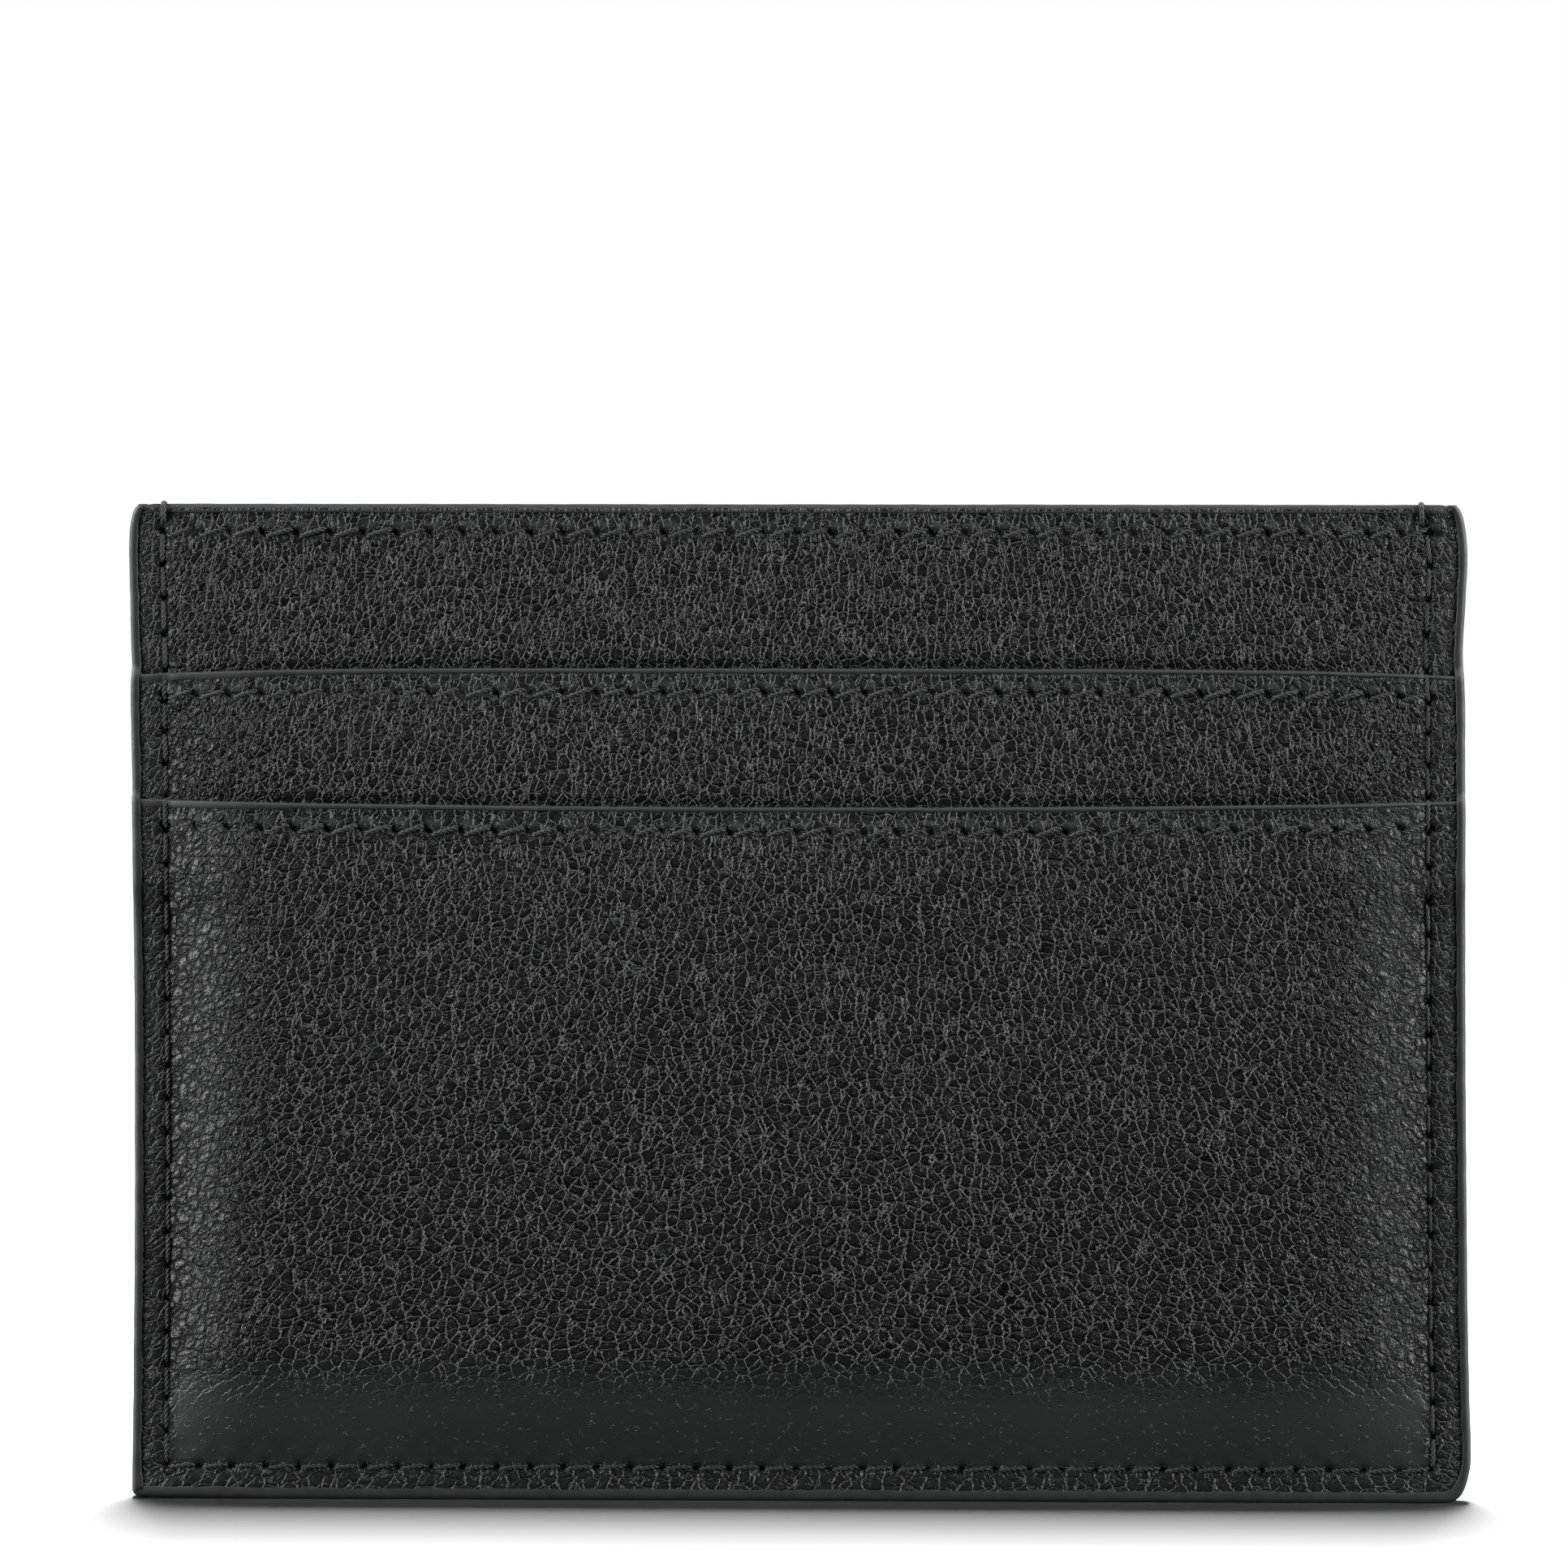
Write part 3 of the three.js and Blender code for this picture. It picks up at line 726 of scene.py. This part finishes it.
def mouth_paint(part, side_name, material):
    """A rounded coat along an open edge, with a lip on the outer face."""
    side, seed, bevel = SIDES[side_name], SEED[side_name, part], PAINT_BEVEL[part]
    end = SHEET_HALF - (0.35 if part == "panel" else 0.1)
    x = lines_between(-end, end, MOUTH_PAINT_STEP)
    zero = 0 * x
    along = x + 50
    lip = lip_width(part, x) + uneven(along, seed + 11, 0.035)
    below = zero + MOUTH[part] - 0.35
    face = outer_face(part, seed)(x, below) + uneven(along, seed + 12, 0.01)
    back = LINING_LEVEL[part](x, below)
    inside = zero + 0.03 - PAINT_ROOM
    ring = [(-lip, face - 0.05), (-lip, face + 0.005), (0.06 - lip, face + PAINT_PROUD)]
    ring += [(zero + up, face + out - bevel) for up, out in MOUTH_SHOULDER]
    ring += [(zero, (face + back) / 2)]
    ring += [(zero + up, back + out) for up, out in MOUTH_BACK]
    ring += [(inside, back + 0.05), (inside, face - 0.05)]
    at_corner = smooth((np.abs(x) - end + MOUTH_CORNER_WIDTH) / MOUTH_CORNER_WIDTH)
    rise = uneven(along, seed + 13, 0.02)
    if part == "panel":
        rise = rise - MOUTH_CORNER_DROP * at_corner
    warped_x, warped_z = warp(x, zero + MOUTH[part])
    rings = [np.stack([warped_x, side * out, warped_z + up + rise], axis=-1) for up, out in ring]
    faces = tube_faces(len(x), len(ring))
    if side > 0:
        faces = [face[::-1] for face in faces]
    return make_piece(f"edge_paint_{side_name}_{part}", np.stack(rings, axis=1) * MM, faces,
                      material, [f"{side_name}_{part}_edge_paint"])


# --- Thread -------------------------------------------------------------------------------------

def twisted_thread(path, normals, start_turn):
    """Points and faces of three plies laid round a path, in mm."""
    steps = np.diff(path, axis=0)
    lengths = np.concatenate([[0], np.cumsum(np.linalg.norm(steps, axis=1))])
    tangents = np.gradient(path, axis=0)
    tangents /= np.linalg.norm(tangents, axis=1)[:, None]
    sideways = np.cross(tangents, normals)
    sideways /= np.linalg.norm(sideways, axis=1)[:, None]
    upward = np.cross(sideways, tangents)
    turns = start_turn + 2 * math.pi * lengths / TWIST
    ring = np.linspace(0, 2 * math.pi, PLY_SIDES, endpoint=False)[None, :, None]
    circle = np.cos(ring) * upward[:, None, :] + np.sin(ring) * sideways[:, None, :]
    points, faces = [], []
    for ply in range(PLIES):
        angle = turns[:, None] + ply * 2 * math.pi / PLIES
        offset = np.cos(angle) * upward * PLY_FLATTENED + np.sin(angle) * sideways
        centre = path + PLY_OFFSET * offset
        first = ply * len(path) * PLY_SIDES
        faces += [[index + first for index in face] for face in tube_faces(len(path), PLY_SIDES)]
        points.append((centre[:, None, :] + PLY_RADIUS * circle).reshape(-1, 3))
    return np.concatenate(points), faces


def stitch_path(start, end, normal, rise):
    """A stitch that comes up out of one hole, lies on the leather and goes down the next."""
    share = np.linspace(0, 1, STITCH_POINTS)[:, None]
    lift = np.sin(math.pi * share) ** LIFT_POWER
    path = start + (end - start) * (0.5 - 0.5 * np.cos(math.pi * share))
    return path + normal * (-HOLE_DEPTH + (HOLE_DEPTH + rise) * lift)


def thread_piece(name, paths, material, replaced, seed):
    rng = np.random.default_rng(seed)
    points, faces, count = [], [], 0
    for path, normals in paths:
        new_points, new_faces = twisted_thread(path, normals, rng.uniform(0, 2 * math.pi))
        faces += [[index + count for index in face] for face in new_faces]
        points.append(new_points)
        count += len(new_points)
    return make_piece(name, np.concatenate(points) * MM, faces, material, replaced)


def on_face(face, x, z, side):
    return place(x, z, face(np.asarray(x, float), np.asarray(z, float)), side) / MM


def outward_normal(face, x, z, side):
    step = 0.25
    points = on_face(face, np.array([x - step, x + step, x, x]),
                     np.array([z, z, z - step, z + step]), side)
    normal = np.cross(points[1] - points[0], points[3] - points[2])
    normal /= np.linalg.norm(normal)
    return normal if normal[1] * side > 0 else -normal


def straight_stitch(face, a, b, side, rng, rise):
    """The path of a stitch between two places on a face, with its outward normals."""
    start, end = (on_face(face, *point, side) for point in (a, b))
    normal = outward_normal(face, (a[0] + b[0]) / 2, (a[1] + b[1]) / 2, side)
    path = stitch_path(start, end, normal, rise + rng.uniform(-RISE_JITTER, RISE_JITTER))
    return path, np.tile(normal, (len(path), 1))


def row_stitches(part, side_name, material):
    """A mouth row: each stitch climbs from the foot of one slit to the head of the next."""
    side = SIDES[side_name]
    seed = SEED[side_name, part]
    row = MOUTH[part] - ROW_DEPTH[part]
    rng = np.random.default_rng(seed + 14)
    paths = []
    last = int(ROW_END // PITCH)
    for index in range(-last, last):
        x = index * PITCH
        jitter = rng.uniform(-0.05, 0.05, 4)
        a = (x + SLIT_HALF_LENGTH + jitter[0], row - SLIT_HALF_HEIGHT + jitter[1])
        b = (x + PITCH - SLIT_HALF_LENGTH + jitter[2], row + SLIT_HALF_HEIGHT + jitter[3])
        paths.append(straight_stitch(OUTER_LEVEL[part], a, b, side, rng, ROW_RISE))
    return thread_piece(f"stitching_{side_name}_{part}", paths, material,
                        [f"{side_name}_{part}_stitching"], seed + 15)


def wrap_path(face, x, side):
    """The last stitch of a side seam, over the top edge to the middle plane."""
    low_z, high_z = TOP - WRAP_LENGTH, TOP - WRAP_ARC_START
    start_x, start_y, _ = on_face(face, x, low_z, side)
    out = abs(start_y) + WRAP_RISE
    path, normals = [], []
    for share in np.linspace(0, 1, WRAP_POINTS, endpoint=False):
        depth = WRAP_HOLE_DEPTH * (1 - min(1, 3 * share))
        path.append([start_x, side * (out - depth), mix(low_z, high_z, share)])
        normals.append([0, side, 0])
    for angle in np.linspace(0, math.pi / 2, WRAP_ARC_POINTS):
        y = (out - WRAP_ARC_CENTRE) * math.cos(angle) + WRAP_ARC_CENTRE
        path.append([start_x, side * y, high_z + WRAP_ARC_HEIGHT * math.sin(angle)])
        normals.append([0, side * math.cos(angle), math.sin(angle)])
    path[-1][1] = 0.0
    return np.array(path), np.array(normals)


def perimeter_stitches(side_name, material):
    """The two side seams with their wraps over the top edge, and the bottom seam."""
    side = SIDES[side_name]
    rng = np.random.default_rng(31 + side)
    paths = []
    count = int((TOP - 1.6 - STITCH_Z) // PITCH)
    for edge in (-1, 1):
        for index in range(count):
            low_z = STITCH_Z + index * PITCH + SIDE_STITCH_GAP
            high_z = STITCH_Z + (index + 1) * PITCH - SIDE_STITCH_GAP
            shift = rng.uniform(-0.06, 0.06, 2)
            a = (edge * (stitch_x(edge, low_z) + shift[0]), low_z)
            b = (edge * (stitch_x(edge, high_z) + shift[1]), high_z)
            rise = rng.uniform(*SIDE_RISES)
            paths.append(straight_stitch(bare_level, a, b, side, rng, rise))
        paths.append(wrap_path(bare_level, edge * stitch_x(edge, TOP), side))
    for index in range(BOTTOM_STITCHES):
        x = -STITCH_LEFT + index * BOTTOM_PITCH
        shift = rng.uniform(-0.05, 0.05, 2)
        a = (x + BOTTOM_STITCH_GAP, STITCH_Z + shift[0] - BOTTOM_STITCH_SLANT)
        b = (x + BOTTOM_PITCH - BOTTOM_STITCH_GAP, STITCH_Z + shift[1] + BOTTOM_STITCH_SLANT)
        paths.append(straight_stitch(bare_level, a, b, side, rng, BOTTOM_RISE))
    return thread_piece(f"stitching_perimeter_{side_name}", paths, material,
                        [f"perimeter_stitching_{side_name}"], 35 + side)


# --- Materials ----------------------------------------------------------------------------------

class Nodes:
    """A short way to build a material's node tree."""

    def __init__(self, name):
        self.material = bpy.data.materials.new(name)
        self.material.use_nodes = True
        self.tree = self.material.node_tree

    def add(self, kind, settings=None, **inputs):
        """A new node, with its properties and the inputs named."""
        node = self.tree.nodes.new(kind)
        for key, value in (settings or {}).items():
            setattr(node, key, value)
        for key, value in inputs.items():
            self.put(node.inputs[key], value)
        return node

    def put(self, socket, value):
        if isinstance(value, bpy.types.NodeSocket):
            self.tree.links.new(value, socket)
        else:
            socket.default_value = value

    def surface(self, inputs):
        """Sets the inputs named on the material's shader."""
        for key, value in inputs.items():
            self.put(self.tree.nodes["Principled BSDF"].inputs[key], value)
        return self.material

    def math(self, operation, *values):
        node = self.add("ShaderNodeMath", {"operation": operation})
        for socket, value in zip(node.inputs, values):
            self.put(socket, value)
        return node.outputs[0]

    def ramp(self, value, low, high, to_low=0.0, to_high=1.0, kind="SMOOTHSTEP"):
        node = self.add("ShaderNodeMapRange", {"interpolation_type": kind}, **{
            "Value": value, "From Min": low, "From Max": high, "To Min": to_low, "To Max": to_high})
        return node.outputs[0]

    def place_mm(self):
        """Object coordinates, counted in millimetres."""
        coordinates = self.add("ShaderNodeTexCoord").outputs["Object"]
        scale = (1 / MM, 1 / MM, 1 / MM)
        return self.add("ShaderNodeMapping", Vector=coordinates, Scale=scale).outputs[0]

    def noise(self, vector, scale, detail=2.0, roughness=0.5, output="Fac"):
        node = self.add("ShaderNodeTexNoise", Vector=vector, Scale=scale, Detail=detail,
                        Roughness=roughness)
        return node.outputs[output]

    def voronoi(self, vector, scale, feature):
        """Distance to the nearest cell's edge or point, counted in cells."""
        node = self.add("ShaderNodeTexVoronoi", {"feature": feature}, Vector=vector, Scale=scale)
        return node.outputs["Distance"]

    def shifted(self, vector, colour, amount):
        """A place moved about by a noise colour, whose middle is 0.5."""
        centred = self.add("ShaderNodeVectorMath", {"operation": "SUBTRACT"})
        self.put(centred.inputs[0], colour)
        self.put(centred.inputs[1], (0.5, 0.5, 0.5))
        moved = self.add("ShaderNodeVectorMath", {"operation": "MULTIPLY_ADD"})
        self.put(moved.inputs[0], centred.outputs[0])
        self.put(moved.inputs[1], (amount, amount, amount))
        self.put(moved.inputs[2], vector)
        return moved.outputs[0]

    def bump(self, height, distance):
        return self.add("ShaderNodeBump", Height=height, Distance=distance, Strength=1.0).outputs[0]

    def blend(self, share, colours):
        """A colour between two."""
        node = self.add("ShaderNodeMix", {"data_type": "RGBA"}, Factor=share, A=colours[0],
                        B=colours[1])
        return node.outputs["Result"]


def grain_place(n, place_mm):
    """Places in the grain, which widens downwards and wanders as hide does."""
    axes = n.add("ShaderNodeSeparateXYZ", Vector=place_mm).outputs
    fan = n.math("MULTIPLY_ADD", axes["Z"], GRAIN_FAN, 1 - GRAIN_FAN * GRAIN_FAN_HEIGHT)
    across = n.math("MULTIPLY", axes["X"], fan)
    up = n.math("MULTIPLY", axes["Z"], GRAIN_STRETCH)
    fanned = n.add("ShaderNodeCombineXYZ", X=across, Y=axes["Y"], Z=up).outputs[0]
    bent = n.shifted(fanned, n.noise(place_mm, 0.9, output="Color"), 0.7)
    return n.shifted(bent, n.noise(place_mm, 4.0, 1.0, output="Color"), 0.16)


def grain_height(n, place_mm, vein, cells, net, pores):
    """Height of the grain: veins between domed cells, a patchy finer net, and pores."""
    strength = n.ramp(n.noise(place_mm, 0.8), 0.3, 0.65, 0.55, 1.25)
    patches = n.ramp(n.noise(place_mm, 1.6, 1.0), 0.4, 0.6, 0.25, 1.0)
    net_line = n.ramp(net, 0.0, NET_HALF_WIDTH * NET_SCALE, kind="LINEAR")
    parts = (
        (n.math("MULTIPLY", vein, strength), VEIN_DEPTH),
        (n.ramp(cells, 0.0, 0.5), CELL_DOME),
        (n.math("MULTIPLY", net_line, patches), NET_DEPTH),
        (n.ramp(pores, 0.0, PORE_RADIUS, 1.0, 0.0), PORE_HEIGHT),
    )
    height = 0.0
    for shape, size in parts:
        height = n.math("MULTIPLY_ADD", shape, size, height)
    return height


def leather_material():
    """Black pebbled calf, whose grain is weaker where the attribute grain is under 1, and which is
    painted lighter there as painted light. Its veins carry a painted highlight and the rims beside
    them a painted shade.
    """
    n = Nodes("black_pebbled_leather")
    place_mm = n.place_mm()
    bent = grain_place(n, place_mm)
    grain = n.add("ShaderNodeAttribute", {"attribute_name": "grain"}).outputs["Fac"]
    cells = n.voronoi(bent, VEIN_SCALE, "DISTANCE_TO_EDGE")
    net = n.voronoi(bent, NET_SCALE, "DISTANCE_TO_EDGE")
    pores = n.voronoi(place_mm, PORE_SCALE, "F1")
    vein = n.ramp(cells, 0.0, VEIN_HALF_WIDTH * VEIN_SCALE, kind="LINEAR")
    rim = n.ramp(cells, VEIN_HALF_WIDTH * VEIN_SCALE, RIM_WIDTH * VEIN_SCALE)

    specks = n.ramp(n.noise(place_mm, SPECK_SCALE, 3.0), 0.62, 0.7)
    height = n.math("MULTIPLY", grain_height(n, place_mm, vein, cells, net, pores), grain)
    height = n.math("MULTIPLY_ADD", specks, SPECK_HEIGHT, height)

    # The veins are painted lighter as a painted highlight, and the rims beside them darker as a
    # painted shade.
    painted_vein_glint = n.ramp(vein, 0.0, 1.0, VEIN_PAINTED_HIGHLIGHT, 1.0)
    painted_marks = n.math("MULTIPLY", painted_vein_glint, n.ramp(rim, 0.0, 1.0, RIM_PAINTED_SHADE, 1.0))
    # Where the grain attribute is under 1, the colour moves towards the smooth places' painted light.
    painted_marks = n.math("MULTIPLY_ADD", n.math("SUBTRACT", painted_marks, SMOOTH_PAINTED_LIGHT), grain, SMOOTH_PAINTED_LIGHT)
    tone_and_painted_light = n.math("MULTIPLY", n.ramp(n.noise(place_mm, 0.08, 3.0), 0.3, 0.7, 0.9, 1.15), painted_marks)
    colour = n.add("ShaderNodeMix", {"data_type": "RGBA", "blend_type": "MULTIPLY"}, Factor=1.0,
                   A=LEATHER_COLOUR, B=tone_and_painted_light)

    gloss = n.math("MAXIMUM", rim, n.math("SUBTRACT", 1.0, vein))
    gloss = n.math("MAXIMUM", gloss, n.math("SUBTRACT", 1.0, grain))
    return n.surface({
        "Normal": n.bump(height, MM),
        "Base Color": colour.outputs["Result"],
        "Roughness": n.ramp(pores, 0.0, PORE_RADIUS, *GRAIN_ROUGHNESS),
        "Specular IOR Level": n.ramp(gloss, 0.0, 1.0, *GRAIN_GLOSS),
    })


def paint_material():
    """Smooth edge paint with a faint drag of the applicator."""
    n = Nodes("edge_paint")
    place_mm = n.place_mm()
    drag = n.noise(place_mm, 0.9, 3.0)
    specks = n.noise(place_mm, 6.0)
    height = n.math("MULTIPLY_ADD", specks, 0.15, drag)
    return n.surface({
        "Normal": n.bump(height, 0.02 * MM),
        "Base Color": n.blend(n.ramp(drag, 0.3, 0.7), PAINT_COLOURS),
        "Roughness": n.ramp(specks, 0.3, 0.7, 0.42, 0.56),
    })


def thread_material():
    """Waxed black polyester, with fine filaments."""
    n = Nodes("waxed_thread")
    filaments = n.noise(n.place_mm(), 14.0, 2.0, 0.7)
    return n.surface({
        "Normal": n.bump(filaments, 0.03 * MM),
        "Base Color": n.blend(filaments, THREAD_COLOURS),
        "Roughness": 0.45,
    })


def textile_material():
    """Black plain-weave lining."""
    n = Nodes("woven_lining")
    place_mm = n.place_mm()
    axes = n.add("ShaderNodeSeparateXYZ", Vector=place_mm).outputs
    turn = 2 * math.pi / WEAVE_PERIOD
    across = n.math("SINE", n.math("MULTIPLY", axes["X"], turn))
    up = n.math("SINE", n.math("MULTIPLY", axes["Z"], turn))
    weave = n.math("MULTIPLY", across, up)
    height = n.math("MULTIPLY_ADD", n.noise(place_mm, 12.0), 0.6, weave)
    return n.surface({
        "Normal": n.bump(height, 0.03 * MM),
        "Base Color": n.blend(n.ramp(weave, -0.4, 0.8), TEXTILE_COLOURS),
        "Roughness": 0.85,
        "Sheen Weight": 0.2,
    })


def board_material():
    """Bonded grey-brown board."""
    n = Nodes("bonded_board")
    pulp = n.noise(n.place_mm(), 2.5, 4.0, 0.7)
    return n.surface({
        "Normal": n.bump(pulp, 0.05 * MM),
        "Base Color": n.blend(pulp, BOARD_COLOURS),
        "Roughness": 0.9,
    })


# --- Assembly -----------------------------------------------------------------------------------

def sheet_lines(part):
    """Rows of a leather sheet's grid: coarse where it is hidden, finest at the mouth row."""
    top = MOUTH[part] - PAINT_ROOM
    row = MOUTH[part] - ROW_DEPTH[part]
    row_bottom, row_top = row - ROW_HALF_HEIGHT, row + ROW_HALF_HEIGHT
    bottom, seen = SHEET_BOTTOM[part], SEEN_FROM[part]
    stretches = [
        lines_between(seen, row_bottom, STEP_Z),
        lines_between(row_bottom, row_top, STEP_ROW),
        lines_between(row_top, top, STEP_Z),
    ]
    if bottom < seen:
        stretches.insert(0, lines_between(bottom, seen, STEP_HIDDEN))
    return joined_lines(*stretches)


def add_leather(part, side_name, material):
    name = f"{side_name}_{part}"
    xs = lines_between(-SHEET_HALF, SHEET_HALF, STEP_X)
    outer = outer_face(part, SEED[side_name, part])
    piece, x, z = shell(f"leather_{name}", SIDES[side_name], xs, sheet_lines(part),
                        INNER_LEVEL[part], outer, material, [name])
    # The grain attribute also sets where the smooth places are painted lighter, as painted light.
    grain = piece.data.attributes.new("grain", "FLOAT", "POINT")
    grain.data.foreach_set("value", grain_strength(x, z, part).astype(np.float32))
    return piece


def add_lining(part, side_name, material):
    half = SHEET_HALF - LINING_INSET
    top = MOUTH[part] - PAINT_ROOM - LINING_BELOW_LEATHER
    xs = lines_between(-half, half, STEP_LINING)
    zs = lines_between(LINING_BOTTOM[part], top, STEP_LINING)
    inner = LINING_LEVEL[part]
    piece = shell(f"lining_{side_name}_{part}", SIDES[side_name], xs, zs, inner,
                  lambda x, z: inner(x, z) + TEXTILE, material,
                  [f"{side_name}_{part}_lining"], fine=False)[0]


def build_holder():
    leather = leather_material()
    paint = paint_material()
    thread = thread_material()
    textile = textile_material()
    board = board_material()
    for side_name in SIDES:
        for part in ROW_DEPTH:
            sheet_piece = add_leather(part, side_name, leather)
            add_lining(part, side_name, textile)
            row_stitches(part, side_name, thread)
            mouth_paint(part, side_name, paint)
        perimeter_stitches(side_name, thread)
        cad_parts[f"{side_name}_panel_reinforcement"].data.materials[0] = board
        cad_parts[f"{side_name}_upper_pocket_tail_seam"].data.materials[0] = thread
    perimeter_paint(paint)


# --- Stage --------------------------------------------------------------------------------------

def add_camera():
    data = bpy.data.cameras.new("camera")
    camera = bpy.data.objects.new("camera", data)
    bpy.context.scene.collection.objects.link(camera)
    data.sensor_width = SENSOR_WIDTH
    data.lens = data.sensor_width * CAMERA_DISTANCE / FRAME_WIDTH
    data.clip_start = 0.01
    azimuth, elevation = math.radians(CAMERA_AZIMUTH), math.radians(CAMERA_ELEVATION)
    back = Vector((math.sin(azimuth) * math.cos(elevation),
                   -math.cos(azimuth) * math.cos(elevation), math.sin(elevation)))
    target = Vector((FRAME_CENTRE[0], 0, FRAME_CENTRE[1])) * MM
    camera.location = target + back * CAMERA_DISTANCE * MM
    camera.rotation_mode = "QUATERNION"
    roll = Quaternion((0, 0, 1), math.radians(CAMERA_ROLL))
    camera.rotation_quaternion = (-back).to_track_quat("-Z", "Y") @ roll
    bpy.context.scene.camera = camera


def add_light(name, position, size, radiance):
    """A rectangular softbox of a given brightness."""
    data = bpy.data.lights.new(name, "AREA")
    data.shape = "RECTANGLE"
    data.size, data.size_y = size
    data.energy = radiance * math.pi * size[0] * size[1]
    light = bpy.data.objects.new(name, data)
    light.visible_camera = False
    light.location = position
    direction = Vector(LIGHT_AIM) - Vector(position)
    light.rotation_mode = "QUATERNION"
    light.rotation_quaternion = direction.to_track_quat("-Z", "Y")
    bpy.context.scene.collection.objects.link(light)
    return light


def link_light(light, piece, state):
    """Makes a light fall on a piece only, or on all but that piece, which casts no shadow in it."""
    group = bpy.data.collections.new(f"{light.name}_linked")
    group.objects.link(piece)
    group.collection_objects[0].light_linking.link_state = state
    light.light_linking.receiver_collection = group
    if state == "EXCLUDE":
        light.light_linking.blocker_collection = group


def add_floor():
    """A white floor that only the camera sees, so it lights nothing."""
    mesh = bpy.data.meshes.new("floor")
    corners = [(-FLOOR_HALF, FLOOR_FRONT), (FLOOR_HALF, FLOOR_FRONT), (FLOOR_HALF, FLOOR_HALF),
               (-FLOOR_HALF, FLOOR_HALF)]
    mesh.from_pydata([(x, y, FLOOR_LEVEL) for x, y in corners], [], [(0, 1, 2, 3)])
    floor = bpy.data.objects.new("floor", mesh)
    bpy.context.scene.collection.objects.link(floor)
    n = Nodes("white_floor")
    surface = {"Base Color": FLOOR_COLOUR, "Roughness": 1.0, "Specular IOR Level": 0.0}
    mesh.materials.append(n.surface(surface))
    floor.visible_diffuse = False
    floor.visible_glossy = False
    return floor


def set_world():
    """White behind the object, and a dim studio for light and reflections."""
    world = bpy.data.worlds.new("studio")
    bpy.context.scene.world = world
    world.use_nodes = True
    tree = world.node_tree
    background = tree.nodes["Background"]
    path = tree.nodes.new("ShaderNodeLightPath")
    mix_node = tree.nodes.new("ShaderNodeMix")
    mix_node.data_type = "RGBA"
    mix_node.inputs["A"].default_value = (STUDIO, STUDIO, STUDIO, 1)
    mix_node.inputs["B"].default_value = (1, 1, 1, 1)
    tree.links.new(path.outputs["Is Camera Ray"], mix_node.inputs["Factor"])
    tree.links.new(mix_node.outputs["Result"], background.inputs["Color"])


def add_stage():
    scene = bpy.context.scene
    scene.view_settings.view_transform = "Standard"
    scene.view_settings.look = "None"
    set_world()
    floor = add_floor()
    link_light(add_light(*FLOOR_LIGHT), floor, "INCLUDE")
    for softbox in SOFTBOXES:
        link_light(add_light(*softbox), floor, "EXCLUDE")


add_camera()
build_holder()
add_stage()
